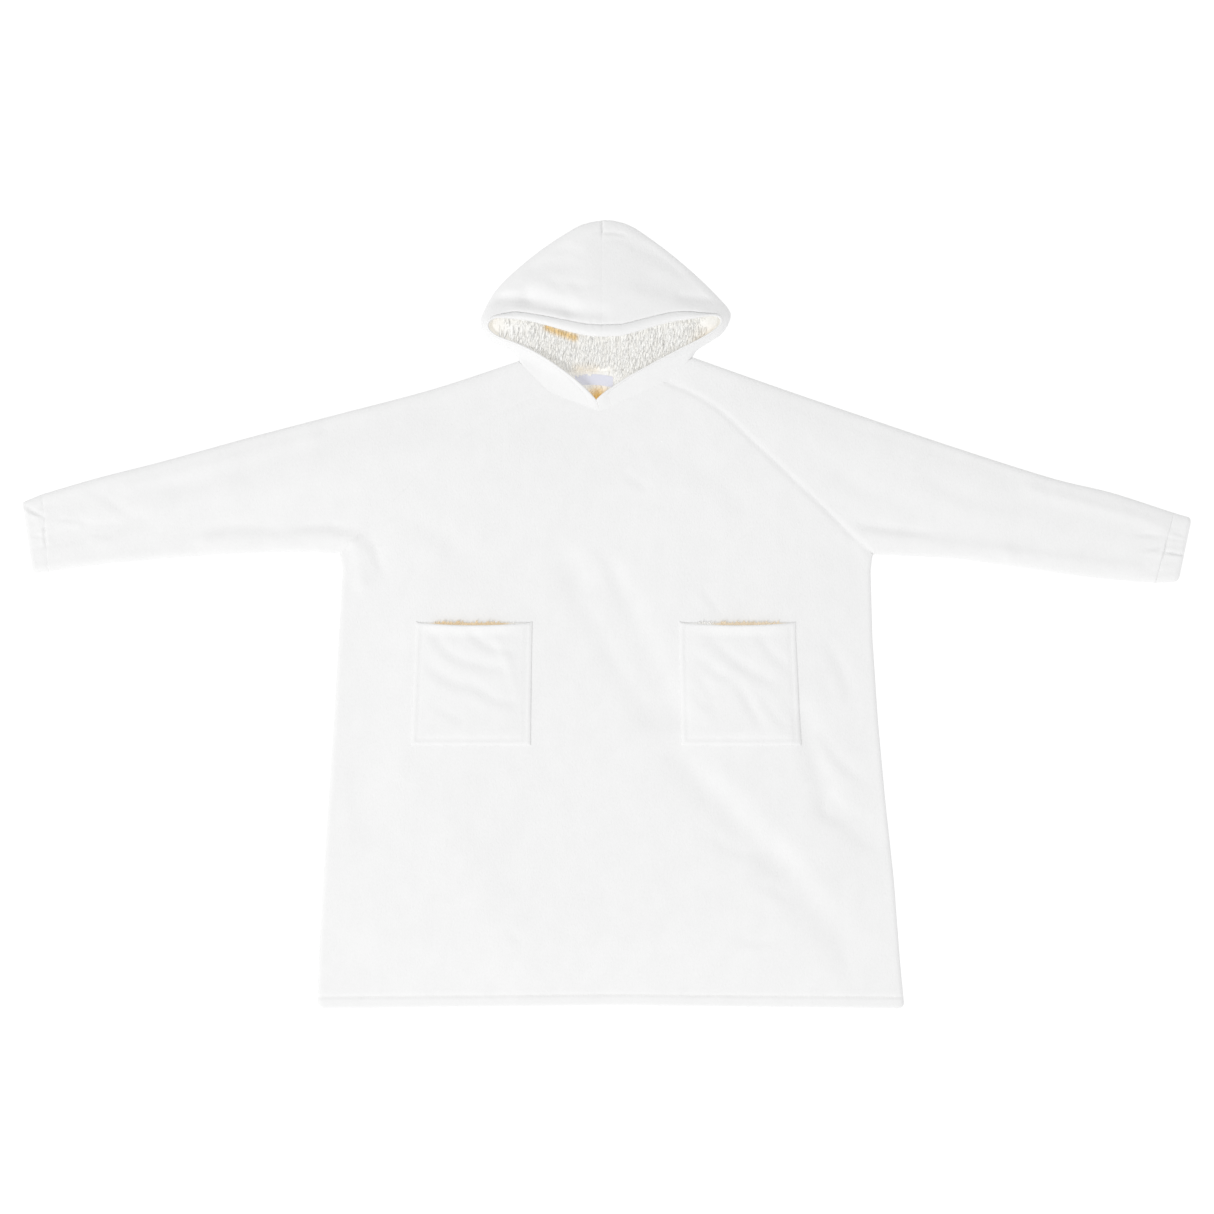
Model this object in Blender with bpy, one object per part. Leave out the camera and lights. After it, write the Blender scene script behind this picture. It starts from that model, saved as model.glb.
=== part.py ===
"""Wearable blanket hoodie laid flat on a table, face up.

X runs from cuff to cuff, Y from the hem to the hood, Z up out of the front.
The origin is on the table, under the middle of the garment.
All sizes below are in millimetres, and the meshes are made in metres.
"""
import math

import bmesh
import bpy
import numpy as np

MM = 0.001

# Cloth and seams
CLOTH = 6.0              # plush outside with pile behind it, body and sleeves
HOOD_CLOTH = 4.0         # plush of the hood, whose pile lining is a piece of its own
LINING_CLOTH = 3.6
POCKET_CLOTH = 4.5
POCKET_PILE = 3.0
LABEL_CLOTH = 0.8
SEAM_GAP = 0.3
NECK_GAP = 0.4
FOLD_GAP = 1.3           # more room where hood and sleeve both fold round the shoulder
EDGE_THICKNESS = 1.2     # what is left of a panel at its sewn outer edge
GROOVE = 2.0             # how deep a seam is drawn in
GROOVE_SHOULDER = 0.3    # share of that depth one row away from the neck seam
SEWN_FULLNESS = 0.72     # how full a tube is where it is sewn to the next piece
LAYER = CLOTH + SEAM_GAP          # underside of the front layer
FLAT_TOP = LAYER + CLOTH          # top of the front layer where nothing lifts it
MIDDLE = FLAT_TOP / 2

# Rounded edge of the folded or turned cloth, from the outline inwards
EDGE_STEPS = (0.0, 2.5, 8.0)
EDGE_FULLNESS = (0.0, 0.726, 1.0)
INNER_EDGE_STEPS = (6.0, 6.9, 8.0)

# Body: half outlines of the sections below the arms
HEM_Y = -592.0
HEM_ARCH = 5.0           # how much higher the hem's middle lies than its corners
HEM_ARCH_REACH = 80.0
HEM_CORNER = 10.0        # radius of the hem's rounded corners
HEM_STEPS = (0.0, 2.5, 8.0, 14.0, 18.0, 22.0)
HEM_FULLNESS = (0.0, 0.726, 1.0, 1.0, 0.72, 1.0)
BODY_SIDES = (           # y, left x, right x
    (-592.0, -436.0, 446.0),
    (-518.0, -434.0, 439.0),
    (-398.0, -427.0, 430.0),
    (-278.0, -419.0, 417.0),
    (-158.0, -411.0, 406.0),
    (-38.0, -404.0, 398.0),
    (65.0, -398.0, 395.0),
    (88.0, -403.0, 399.0),
)
FRONT_ANCHORS = (-570.0, -196.0, -192.0, -26.0, -10.0, 68.0)
FRONT_SPACING = 30.0
BACK_ANCHORS = (-570.0, 65.0)
BACK_SPACING = 130.0

# Raglan seams from the underarm to the neck
RAGLAN_LEFT = (          # x, y
    (-403.0, 88.0), (-364.0, 130.0), (-307.0, 184.0), (-262.0, 232.0),
    (-209.0, 275.0), (-169.0, 298.0), (-128.0, 317.0), (-88.0, 334.0),
)
RAGLAN_RIGHT = (         # x, y
    (399.0, 88.0), (361.0, 124.0), (298.0, 185.0), (235.0, 244.0),
    (176.0, 300.0), (142.0, 324.0), (112.0, 339.0), (88.0, 350.0),
)
RAGLAN_POINTS = 11
BACK_NECK_SHARE = 0.53   # of the way from the middle of the back neck to the shoulder

# Neck seam
NECK_FRONT = (-11.0, 305.0)
NECK_BACK = (-8.0, 363.0)
SHOULDER = {"left": (-134.0, 384.0), "right": (128.0, 388.0)}
NECK_EDGE_POINTS = 4

# Sleeves: each section runs from the shoulder fold to the underarm seam
SLEEVE_SECTIONS = {      # top x, top y, bottom x, bottom y
    "left": (
        (-134.0, 384.0, -403.0, 88.0),
        (-262.0, 340.0, -452.0, 96.0),
        (-400.0, 302.0, -528.0, 92.0),
        (-530.0, 268.0, -620.0, 87.0),
        (-668.0, 230.0, -715.0, 79.0),
        (-762.0, 206.0, -783.0, 72.0),
        (-848.0, 181.0, -839.0, 64.0),
    ),
    "right": (
        (128.0, 388.0, 399.0, 88.0),
        (255.0, 342.0, 451.0, 88.0),
        (397.0, 293.0, 526.0, 83.0),
        (525.0, 250.0, 615.0, 71.0),
        (667.0, 205.0, 712.0, 57.0),
        (757.0, 183.0, 770.0, 51.0),
        (850.0, 153.0, 822.0, 47.0),
    ),
}
SLEEVE_STATIONS = (0.0, 0.02, 0.08, 0.16, 0.25, 0.34, 0.44, 0.54, 0.64, 0.75, 0.87, 0.99, 1.0)
RAGLAN_BLEND = 0.6       # share of the sleeve over which the slanted seam straightens out
LEAST_SHARE = 0.02       # nearest that a column inside a section comes to its edge steps
CUFF_ENDS = {            # top x, top y, bottom x, bottom y
    "left": (-877.0, 166.0, -863.0, 64.0),
    "right": (877.0, 145.0, 857.0, 49.0),
}
CUFF_STATIONS = (0.0, 0.2, 0.85, 1.0)
CUFF_FULLNESS = (0.72, 0.95, 0.88, 0.5)
CUFF_PUCKER = 1.6
CUFF_PUCKERS = 5

# Relief of the front: a low swell over the whole, then troughs and ridges
PUFF = 8.0
PUFF_REACH = 80.0
FOLD_FADE = 25.0         # folds die out over this distance from the outline
FOLDS = (                # start x, start y, end x, end y, half width, height
    (-56.0, 68.0, 71.0, -146.0, 26.0, -4.2),
    (14.0, 52.0, 109.0, -154.0, 20.0, -3.0),
    (-20.0, 20.0, 60.0, -120.0, 16.0, 2.2),
    (109.0, -217.0, 260.0, -370.0, 26.0, -4.0),
    (260.0, -370.0, 384.0, -532.0, 30.0, -4.4),
    (170.0, -240.0, 330.0, -420.0, 24.0, 2.4),
    (292.0, -150.0, 332.0, -290.0, 18.0, -3.6),
    (332.0, -290.0, 392.0, -330.0, 18.0, -3.0),
    (-374.0, 128.0, -360.0, 66.0, 14.0, -4.6),
    (-510.0, 146.0, -376.0, 131.0, 18.0, -4.6),
    (388.0, 128.0, 600.0, 102.0, 20.0, -4.8),
    (600.0, 102.0, 784.0, 76.0, 16.0, -3.6),
    (240.0, 300.0, 560.0, 190.0, 34.0, 2.6),
    (-560.0, 196.0, -260.0, 262.0, 34.0, 2.4),
    (-820.0, 118.0, -700.0, 142.0, 14.0, -2.8),
    (640.0, 150.0, 800.0, 112.0, 18.0, -2.6),
    (-240.0, -300.0, -140.0, -520.0, 40.0, 2.0),
    (-330.0, -60.0, -352.0, -330.0, 26.0, -2.4),
)

# Columns of a panel, as shares of its half width, and the pockets between two of them
COLUMN_SHARES = (0.09, 0.18, 0.275, 0.286, 0.36, 0.43, 0.50, 0.57, 0.64, 0.70, 0.711,
                 0.78, 0.85, 0.92)
BACK_SHARES = (0.25, 0.5, 0.75)
POCKET_SHARES = (0.275, 0.711)
POCKET_BOTTOM_Y = -196.0
POCKET_MOUTH_Y = -10.0
POCKET_EDGE_THICKNESS = 1.6
MOUTH_SAG = 6.0
PILE_SHOWS = 5.0         # how far the pocket's pile stands above its mouth

# Hood: sections of one half, from the neck seam round the side to the centre seam
CENTRE_SEAM_X = -8.0
HOOD_LEFT = (            # rim x, rim y, rim height, edge x, edge y, back seam y
    (-11.3, 305.0, 13.0, -134.0, 384.0, 363.0),
    (-17.3, 322.0, 18.0, -136.0, 388.0, 374.0),
    (-46.0, 351.0, 22.0, -139.0, 391.0, 384.0),
    (-90.0, 383.0, 25.0, -151.0, 399.0, 396.0),
    (-127.0, 403.0, 25.0, -170.0, 407.0, 409.0),
    (-158.0, 421.0, 23.0, -185.0, 418.0, 422.0),
    (-168.0, 433.0, 22.0, -191.0, 434.0, 436.0),
    (-158.0, 440.0, 24.0, -187.0, 453.0, 452.0),
    (-126.0, 440.0, 28.0, -169.0, 485.0, 470.0),
    (-92.0, 432.0, 33.0, -140.0, 515.0, 491.0),
    (-61.0, 423.0, 38.0, -98.0, 549.0, 514.0),
    (-32.0, 416.0, 41.0, -50.0, 580.0, 538.0),
    (-8.0, 414.0, 42.0, -8.0, 592.0, 562.0),
)
HOOD_RIGHT = (           # rim x, rim y, rim height, edge x, edge y, back seam y
    (-10.7, 305.0, 13.0, 128.0, 388.0, 363.0),
    (-16.7, 322.0, 18.0, 130.0, 391.0, 374.0),
    (20.0, 350.0, 22.0, 133.0, 395.0, 384.0),
    (64.0, 375.0, 25.0, 141.0, 401.0, 396.0),
    (106.0, 397.0, 26.0, 154.0, 409.0, 409.0),
    (141.0, 419.0, 25.0, 170.0, 420.0, 422.0),
    (158.0, 435.0, 24.0, 182.0, 437.0, 436.0),
    (150.0, 444.0, 26.0, 184.0, 455.0, 452.0),
    (122.0, 441.0, 30.0, 165.0, 478.0, 470.0),
    (92.0, 436.0, 34.0, 130.0, 512.0, 491.0),
    (58.0, 426.0, 38.0, 87.0, 548.0, 514.0),
    (23.0, 416.0, 41.0, 40.0, 579.0, 538.0),
    (-8.0, 414.0, 42.0, -8.0, 592.0, 562.0),
)
HOOD_STATIONS = (0, 1, 1.5, 2, 3, 4, 4.5, 5, 5.5, 6, 6.5, 7, 7.5, 8, 8.5, 9, 9.5, 10, 10.5,
                 11, 11.5, 12)
KINK_REACH = 2.5         # sections over which the corner of the neck seam fades
NARROW = 60.0            # a section shorter than this has its edge steps scaled down
FLAP_SHARES = (1 / 3, 2 / 3)      # columns of the flap on each side of the neck seam's corner
BACK_LAYER_COLUMNS = 4
RIM_ROLL = (             # distance from the rim, upper offset, lower offset
    (0.0, 1.0, -1.0),
    (3.0, 3.0, -3.0),
    (9.0, 4.0, -4.0),
    (15.0, 3.2, -3.0),
    (18.0, 0.8, -2.0),
    (22.0, 2.0, -2.0),
)
HOOD_FOLD_FADE = 12.0    # folds of the flap die out over this distance from rim band and edge
HOOD_FOLDS = (           # start x, start y, end x, end y, half width, height
    (-160.0, 468.0, -118.0, 468.0, 8.0, -4.0),
    (-118.0, 468.0, -56.0, 444.0, 9.0, -5.0),
    (-160.0, 486.0, -112.0, 484.0, 9.0, 3.0),
    (-112.0, 484.0, -40.0, 458.0, 10.0, 3.0),
    (60.0, 500.0, 110.0, 470.0, 16.0, -2.0),
)
LINING_INSET = 15.0
LINING_ROWS = (386.0, 394.0, 410.0, 430.0, 452.0, 476.0, 500.0, 524.0, 548.0)
LINING_COLUMNS = 11
LINING_NECK_GAP = 3.0    # how far the lining's lower edge stays above the back neck
LINING_NECK_SHARE = 0.9  # how much of the way down to the back neck that edge dips

# Woven label, bare, hanging from the back neck seam
LABEL_LEFT_X = -49.0
LABEL_RIGHT_X = 8.0
LABEL_TOP_Y = 361.0
LABEL_BOTTOM_Y = 345.0

# Finishes: red, green, blue, roughness
PLUSH = (0.90, 0.895, 0.885, 0.92)
PLUSH_BACK = (0.89, 0.885, 0.875, 0.92)
PILE = (0.91, 0.875, 0.79, 1.0)
WOVEN = (0.93, 0.93, 0.95, 0.6)


def clear_scene():
    for item in list(bpy.data.objects):
        bpy.data.objects.remove(item, do_unlink=True)


def finish(name, look):
    """A Principled material of one colour and roughness."""
    material = bpy.data.materials.new(name)
    material.use_nodes = True
    shader = material.node_tree.nodes["Principled BSDF"]
    shader.inputs["Base Color"].default_value = (*look[:3], 1.0)
    shader.inputs["Roughness"].default_value = look[3]
    shader.inputs["Metallic"].default_value = 0.0
    return material


def smooth(table, positions):
    """Rows of a table at the given positions along a Catmull-Rom curve through them."""
    rows = np.asarray(table, dtype=float)
    padded = np.vstack([2 * rows[0] - rows[1], rows, 2 * rows[-1] - rows[-2]])
    result = []
    for position in positions:
        first = min(int(position), len(rows) - 2)
        t = position - first
        before, start, end, after = padded[first:first + 4]
        bend = 2 * before - 5 * start + 4 * end - after
        twist = 3 * start - before - 3 * end + after
        result.append(0.5 * (2 * start + (end - before) * t + bend * t ** 2 + twist * t ** 3))
    return np.array(result)


def lerp(start, end, share):
    return np.asarray(start) + (np.asarray(end) - np.asarray(start)) * share


def at_distances(path, distances):
    """Points of a polyline at the given distances from its start."""
    path = np.asarray(path)
    arc = np.concatenate([[0.0], np.cumsum(np.linalg.norm(np.diff(path, axis=0), axis=1))])
    return np.column_stack([np.interp(distances, arc, path[:, axis]) for axis in (0, 1)])


def path_length(path):
    return float(np.linalg.norm(np.diff(path, axis=0), axis=1).sum())


def moved_left(path, distance):
    """A polyline moved to the left of its direction by a distance, with mitred corners."""
    steps = np.diff(path, axis=0)
    steps /= np.linalg.norm(steps, axis=1)[:, None]
    normals = np.column_stack([-steps[:, 1], steps[:, 0]])
    before = np.vstack([normals[:1], normals])
    after = np.vstack([normals, normals[-1:]])
    return path + distance * (before + after) / (1 + (before * after).sum(axis=1))[:, None]


def segment_distance(points, start, end):
    """Distance of each point from a straight line between two points."""
    start, along = np.asarray(start), np.asarray(end) - np.asarray(start)
    share = np.clip(((points - start) @ along) / (along @ along), 0.0, 1.0)
    return np.linalg.norm(points - start - share[:, None] * along, axis=1)


def fold_relief(points, folds):
    """Height of all the folds of a table at points in plan."""
    relief = np.zeros(len(points))
    for start_x, start_y, end_x, end_y, half_width, height in folds:
        away = segment_distance(points, (start_x, start_y), (end_x, end_y))
        relief += height * np.exp(-(away / half_width) ** 2)
    return relief


def rows_between(anchors, spacing):
    """Heights from the second anchor on, and evenly between them, about a spacing apart."""
    rows = []
    for start, end in zip(anchors, anchors[1:]):
        count = max(1, round((end - start) / spacing))
        rows += [start + (end - start) * step / count for step in range(1, count + 1)]
    return rows


def raglan(side, layer):
    """The seam between body and sleeve, from the underarm to the neck."""
    table = RAGLAN_LEFT if side == "left" else RAGLAN_RIGHT
    path = smooth(table, np.linspace(0, len(table) - 1, RAGLAN_POINTS))
    if layer == "back":
        share = np.linspace(0.0, 1.0, len(path))[:, None] ** 2
        path = path + share * (lerp(NECK_BACK, SHOULDER[side], BACK_NECK_SHARE) - path[-1])
    return path


def garment_outline():
    """Outline of body and sleeves, closed along the front neck seam."""
    sides = np.asarray(BODY_SIDES)
    points = [(left, y) for y, left, _ in sides]
    points += [(row[2], row[3]) for row in SLEEVE_SECTIONS["left"][1:]]
    points += [CUFF_ENDS["left"][2:], CUFF_ENDS["left"][:2]]
    points += [(row[0], row[1]) for row in reversed(SLEEVE_SECTIONS["left"])]
    points += [RAGLAN_LEFT[-1], NECK_FRONT, RAGLAN_RIGHT[-1]]
    points += [(row[0], row[1]) for row in SLEEVE_SECTIONS["right"]]
    points += [CUFF_ENDS["right"][:2], CUFF_ENDS["right"][2:]]
    points += [(row[2], row[3]) for row in reversed(SLEEVE_SECTIONS["right"][1:])]
    points += [(right, y) for y, _, right in reversed(sides)]
    return np.array(points)


def lift(points):
    """How far the front layer rises above lying flat, at points in plan."""
    outline = garment_outline()
    starts_ends = zip(outline, np.roll(outline, -1, axis=0))
    edge = np.min([segment_distance(points, start, end) for start, end in starts_ends], axis=0)
    swell = PUFF * (1 - np.exp(-(edge / PUFF_REACH) ** 2))
    folds = fold_relief(points, FOLDS) * np.clip(edge / FOLD_FADE, 0.0, 1.0)
    return np.maximum(swell + folds, 0.0)


def add_quad(mesh, first, second, third, fourth):
    """Two triangles, always split from the first corner to the third."""
    mesh.faces.new((first, second, third))
    mesh.faces.new((first, third, fourth))


def build_wall(name, outer, inner, material, ring=False):
    """A closed wall between two grids of points; a ring also closes along its rows."""
    rows, columns = outer.shape[:2]
    mesh = bmesh.new()
    upper = [[mesh.verts.new(point * MM) for point in row] for row in outer]
    lower = [[mesh.verts.new(point * MM) for point in row] for row in inner]
    spans = columns if ring else columns - 1
    for row in range(rows - 1):
        for column in range(spans):
            after = (column + 1) % columns
            add_quad(mesh, upper[row][column], upper[row][after],
                     upper[row + 1][after], upper[row + 1][column])
            add_quad(mesh, lower[row][column], lower[row + 1][column],
                     lower[row + 1][after], lower[row][after])
    for row in (0, rows - 1):
        for column in range(spans):
            after = (column + 1) % columns
            add_quad(mesh, upper[row][column], lower[row][column],
                     lower[row][after], upper[row][after])
    if not ring:
        for column in (0, columns - 1):
            for row in range(rows - 1):
                add_quad(mesh, upper[row][column], upper[row + 1][column],
                         lower[row + 1][column], lower[row][column])
    bmesh.ops.recalc_face_normals(mesh, faces=mesh.faces)
    data = bpy.data.meshes.new(name)
    mesh.to_mesh(data)
    mesh.free()
    data.materials.append(material)
    data.shade_smooth()
    data.set_sharp_from_angle(angle=math.radians(40))
    item = bpy.data.objects.new(name, data)
    bpy.context.scene.collection.objects.link(item)
    return item


def body_heights(anchors, spacing):
    """Heights of a panel's rows below the arms, hem first."""
    return [HEM_Y + step for step in HEM_STEPS] + rows_between(anchors, spacing)


def corner_inset(height):
    """How far the rounded corner of the hem draws in the side at a height above it."""
    short = max(0.0, HEM_CORNER - height)
    return HEM_CORNER - math.sqrt(HEM_CORNER ** 2 - short ** 2)


def panel_sections(heights, layer):
    """Left, middle and right point of each section, from the hem to the neck."""
    sides = np.asarray(BODY_SIDES)
    sections = []
    for y in heights:
        inset = corner_inset(y - HEM_Y)
        left = np.interp(y, sides[:, 0], sides[:, 1]) + inset
        right = np.interp(y, sides[:, 0], sides[:, 2]) - inset
        arch = HEM_ARCH * max(0.0, 1 - (y - HEM_Y) / HEM_ARCH_REACH)
        sections.append(((left, y), ((left + right) / 2, y + arch), (right, y)))
    left_seam, right_seam = raglan("left", layer), raglan("right", layer)
    neck = NECK_FRONT if layer == "front" else NECK_BACK
    dip = np.array(neck) - (left_seam[-1] + right_seam[-1]) / 2
    for row, (left, right) in enumerate(zip(left_seam, right_seam)):
        share = row / (RAGLAN_POINTS - 1)
        sections.append((left, (left + right) / 2 + dip * share ** 2, right))
    return np.array(sections)


def panel_grid(sections, shares):
    """Plan points of a panel: edge steps at each side and shares of its half width between."""
    grid = []
    for left, middle, right in sections:
        row = []
        for edge, order in ((left, 1), (right, -1)):
            length = np.linalg.norm(edge - middle)
            steps = [lerp(edge, middle, step / length) for step in EDGE_STEPS]
            steps += [lerp(middle, edge, share) for share in reversed(shares)]
            row.append(steps[::order])
        grid.append(row[0] + [middle] + row[1])
    return np.array(grid)


def edge_weights(rows, columns):
    """Fullness of each grid point across a panel, and the dip of its seams."""
    fullness = np.ones((rows, columns))
    groove = np.zeros((rows, columns))
    at_outline = np.arange(rows) <= rows - RAGLAN_POINTS
    for step, value in enumerate(EDGE_FULLNESS):
        for column in (step, columns - 1 - step):
            fullness[at_outline, column] = value
            groove[~at_outline, column] = GROOVE * (1 - value)
    groove[-1, :] = GROOVE
    groove[-2, :] = GROOVE_SHOULDER * GROOVE
    return fullness, groove


def front_panel(material):
    """The front, lying on the back; returns its outer points for the pockets."""
    sections = panel_sections(body_heights(FRONT_ANCHORS, FRONT_SPACING), "front")
    plan = panel_grid(sections, COLUMN_SHARES)
    rows, columns = plan.shape[:2]
    fullness, groove = edge_weights(rows, columns)
    fullness[:len(HEM_FULLNESS)] *= np.array(HEM_FULLNESS)[:, None]
    rise = lift(plan.reshape(-1, 2)).reshape(rows, columns)
    body = (CLOTH - EDGE_THICKNESS) * fullness - groove
    outer = np.dstack([plan, LAYER + EDGE_THICKNESS + body + rise])
    inner = np.dstack([plan, LAYER + rise])
    build_wall("front_panel", outer, inner, material)
    return outer


def back_panel(material):
    """The back, whose underside is flat on the table."""
    sections = panel_sections(body_heights(BACK_ANCHORS, BACK_SPACING), "back")
    plan = panel_grid(sections, BACK_SHARES)
    rows, columns = plan.shape[:2]
    fullness, _ = edge_weights(rows, columns)
    fullness[:len(EDGE_FULLNESS)] *= np.array(EDGE_FULLNESS)[:, None]
    body = (CLOTH - EDGE_THICKNESS) * (1 - fullness)
    outer = np.dstack([plan, np.full((rows, columns), CLOTH)])
    inner = np.dstack([plan, body])
    build_wall("back_panel", outer, inner, material)


def sleeve_start(side, layer):
    """The slanted open end of a sleeve: up the raglan seam, then along the neck."""
    seam = raglan(side, layer)
    neck = [lerp(seam[-1], SHOULDER[side], share)
            for share in np.linspace(0.0, 1.0, NECK_EDGE_POINTS)]
    path = np.vstack([seam, neck[1:]])
    turn = 1.0 if side == "left" else -1.0
    return moved_left(path, turn * SEAM_GAP)


def section_steps(path):
    """Distances along a section: its edge steps, and its own corners between."""
    length = path_length(path)
    arc = np.cumsum(np.linalg.norm(np.diff(path, axis=0), axis=1))[:-1]
    return np.concatenate([EDGE_STEPS, arc, length - np.array(EDGE_STEPS[::-1])])


def tube_ring(front, back, full):
    """One flattened ring, as outer and inner points, from its two layers in plan."""
    count = len(front)
    edge = np.ones(count)
    for step, value in enumerate(EDGE_FULLNESS):
        edge[step] = value
        edge[count - 1 - step] = value
    half = MIDDLE * edge * full
    rise = lift(front) * edge
    top = np.column_stack([front, MIDDLE + half + rise])
    under = np.column_stack([back, MIDDLE * (1 - edge)])
    inner_plan = []
    for path in (front, back):
        inset = path.copy()
        length = path_length(path)
        for step, distance in enumerate(INNER_EDGE_STEPS):
            both = at_distances(path, [distance, length - distance])
            inset[step], inset[count - 1 - step] = both
        inner_plan.append(inset)
    slack = (MIDDLE - CLOTH) * edge
    inner_top = np.column_stack([inner_plan[0], MIDDLE + slack + rise])
    inner_under = np.column_stack([inner_plan[1], MIDDLE - slack])
    for upper, lower in ((top, under), (inner_top, inner_under)):
        for end in (0, -1):
            upper[end] = (upper[end] + lower[end]) / 2
    outer = np.vstack([top, under[-2:0:-1]])
    inner = np.vstack([inner_top, inner_under[-2:0:-1]])
    return outer, inner


def straight_section(row, shares):
    """Plan points across a sleeve section from its underarm to its fold."""
    top, bottom = np.array(row[:2]), np.array(row[2:])
    length = np.linalg.norm(top - bottom)
    edges = len(EDGE_STEPS)
    middle = np.clip(shares[edges:-edges], LEAST_SHARE, 1 - LEAST_SHARE)
    middle = EDGE_STEPS[-1] + middle * (length - 2 * EDGE_STEPS[-1])
    distances = np.concatenate([EDGE_STEPS, middle, length - np.array(EDGE_STEPS[::-1])])
    return at_distances(np.array([bottom, top]), distances)


def sleeve(side, material):
    """One sleeve as a flattened tube from the raglan seam to the cuff seam."""
    paths = {layer: sleeve_start(side, layer) for layer in ("front", "back")}
    starts = {layer: at_distances(path, section_steps(path)) for layer, path in paths.items()}
    shares = section_steps(paths["front"]) / path_length(paths["front"])
    table = np.array(SLEEVE_SECTIONS[side])
    base = straight_section(table[0], shares)
    sections = smooth(table, np.array(SLEEVE_STATIONS) * (len(table) - 1))
    outer_rows, inner_rows = [], []
    for station, row in zip(SLEEVE_STATIONS, sections):
        straight = straight_section(row, shares)
        slant = max(0.0, 1 - station / RAGLAN_BLEND) ** 2
        front, back = (straight + (starts[layer] - base) * slant for layer in ("front", "back"))
        full = SEWN_FULLNESS if station in (0.0, 1.0) else 1.0
        outer, inner = tube_ring(front, back, full)
        outer_rows.append(outer)
        inner_rows.append(inner)
    build_wall("sleeve_" + side, np.array(outer_rows), np.array(inner_rows), material, ring=True)
    return shares


def cuff(side, shares, material):
    """A short flattened tube with a few puckers, sewn to the sleeve's end."""
    seam = np.array(SLEEVE_SECTIONS[side][-1])
    end = np.array(CUFF_ENDS[side])
    outward = (end - seam) / np.linalg.norm((end - seam)[:2])
    seam = seam + outward * 2 * SEAM_GAP
    outer_rows, inner_rows = [], []
    for station, full in zip(CUFF_STATIONS, CUFF_FULLNESS):
        path = straight_section(lerp(seam, end, station), shares)
        outer, inner = tube_ring(path, path, full)
        top = slice(len(EDGE_STEPS), len(path) - len(EDGE_STEPS))
        across = np.linspace(0.0, 2 * math.pi * CUFF_PUCKERS, len(path))[top]
        outer[top, 2] += CUFF_PUCKER * (1 - station) * (np.cos(across) - 1) / 2
        outer_rows.append(outer)
        inner_rows.append(inner)
    build_wall("cuff_" + side, np.array(outer_rows), np.array(inner_rows), material, ring=True)


def bent_line(start, corner, end, corner_share, shares):
    """Points at shares of the way from start to end, going through a corner."""
    first = np.minimum(shares / corner_share, 1.0)[:, None]
    second = (np.maximum(shares - corner_share, 0.0) / (1 - corner_share))[:, None]
    return lerp(start, corner, first) + (end - corner) * second


def hood_flap(row, station, corner_share, corner_move):
    """One row of the flap, from the rim to the side fold: outer points, inner points."""
    rim, rim_z, edge = row[:2], row[2], row[3:5]
    length = np.linalg.norm(edge - rim)
    scale = min(1.0, length / NARROW)
    roll = np.array(RIM_ROLL)
    steps = roll[:, 0] * scale
    at_corner = corner_share * length
    last = length - EDGE_STEPS[-1] * scale
    distance = np.concatenate([
        steps, [lerp(steps[-1], at_corner, share) for share in FLAP_SHARES], [at_corner],
        [lerp(at_corner, last, share) for share in FLAP_SHARES],
        length - np.array(EDGE_STEPS[::-1]) * scale])
    inner_distance = distance.copy()
    inner_distance[-3:] = length - np.array(INNER_EDGE_STEPS[::-1]) * scale
    bend = max(0.0, 1 - station / KINK_REACH) ** 2
    corner = lerp(rim, edge, corner_share) + corner_move * bend
    plan, inner_plan = (bent_line(rim, corner, edge, corner_share, each / length)
                        for each in (distance, inner_distance))

    fullness = np.ones(len(distance))
    fullness[-3:] = EDGE_FULLNESS[::-1]
    above = np.full(len(distance), HOOD_CLOTH / 2)
    below = np.full(len(distance), -HOOD_CLOTH / 2)
    above[:len(roll)], below[:len(roll)] = roll[:, 1], roll[:, 2]
    if station == 0:
        above[:-3] = HOOD_CLOTH / 2 - GROOVE
        below[:-3] = -HOOD_CLOTH / 2
    height = FLAT_TOP - HOOD_CLOTH / 2
    height = height + (rim_z - FLAT_TOP) * np.cos(0.5 * math.pi * distance / length) ** 2
    room = np.minimum(distance - steps[-1], length - distance) / HOOD_FOLD_FADE
    height += fold_relief(plan, HOOD_FOLDS) * np.clip(room, 0.0, 1.0)
    top = np.column_stack([plan, MIDDLE + (height + above - MIDDLE) * fullness])
    under = np.column_stack([inner_plan, MIDDLE + (height + below - MIDDLE) * fullness])
    return top, under


def hood_back_layer(row, side):
    """One row of the layer on the table, from the side fold to the back seam."""
    edge = row[3:5]
    seam_side = -1.0 if side == "left" else 1.0
    back = np.array((CENTRE_SEAM_X + seam_side * SEAM_GAP / 2, row[5]))
    scale = min(1.0, np.linalg.norm(edge - row[:2]) / NARROW)
    reach = np.linalg.norm(back - edge)
    steps = np.array(EDGE_STEPS[1:]) * scale
    distance = np.concatenate([
        steps, np.linspace(steps[-1], reach, BACK_LAYER_COLUMNS + 1)[1:]])
    inner_distance = distance.copy()
    inner_distance[:2] = np.array(INNER_EDGE_STEPS[1:]) * scale
    fullness = np.ones(len(distance))
    fullness[:2] = EDGE_FULLNESS[1:]
    plan, inner_plan = (lerp(edge, back, (each / reach)[:, None])
                        for each in (distance, inner_distance))
    bottom = np.column_stack([plan, MIDDLE * (1 - fullness)])
    inside = np.column_stack([inner_plan, MIDDLE - (MIDDLE - HOOD_CLOTH) * fullness])
    fold = lerp(edge, back, INNER_EDGE_STEPS[0] * scale / reach)
    return bottom, inside, fold


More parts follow.
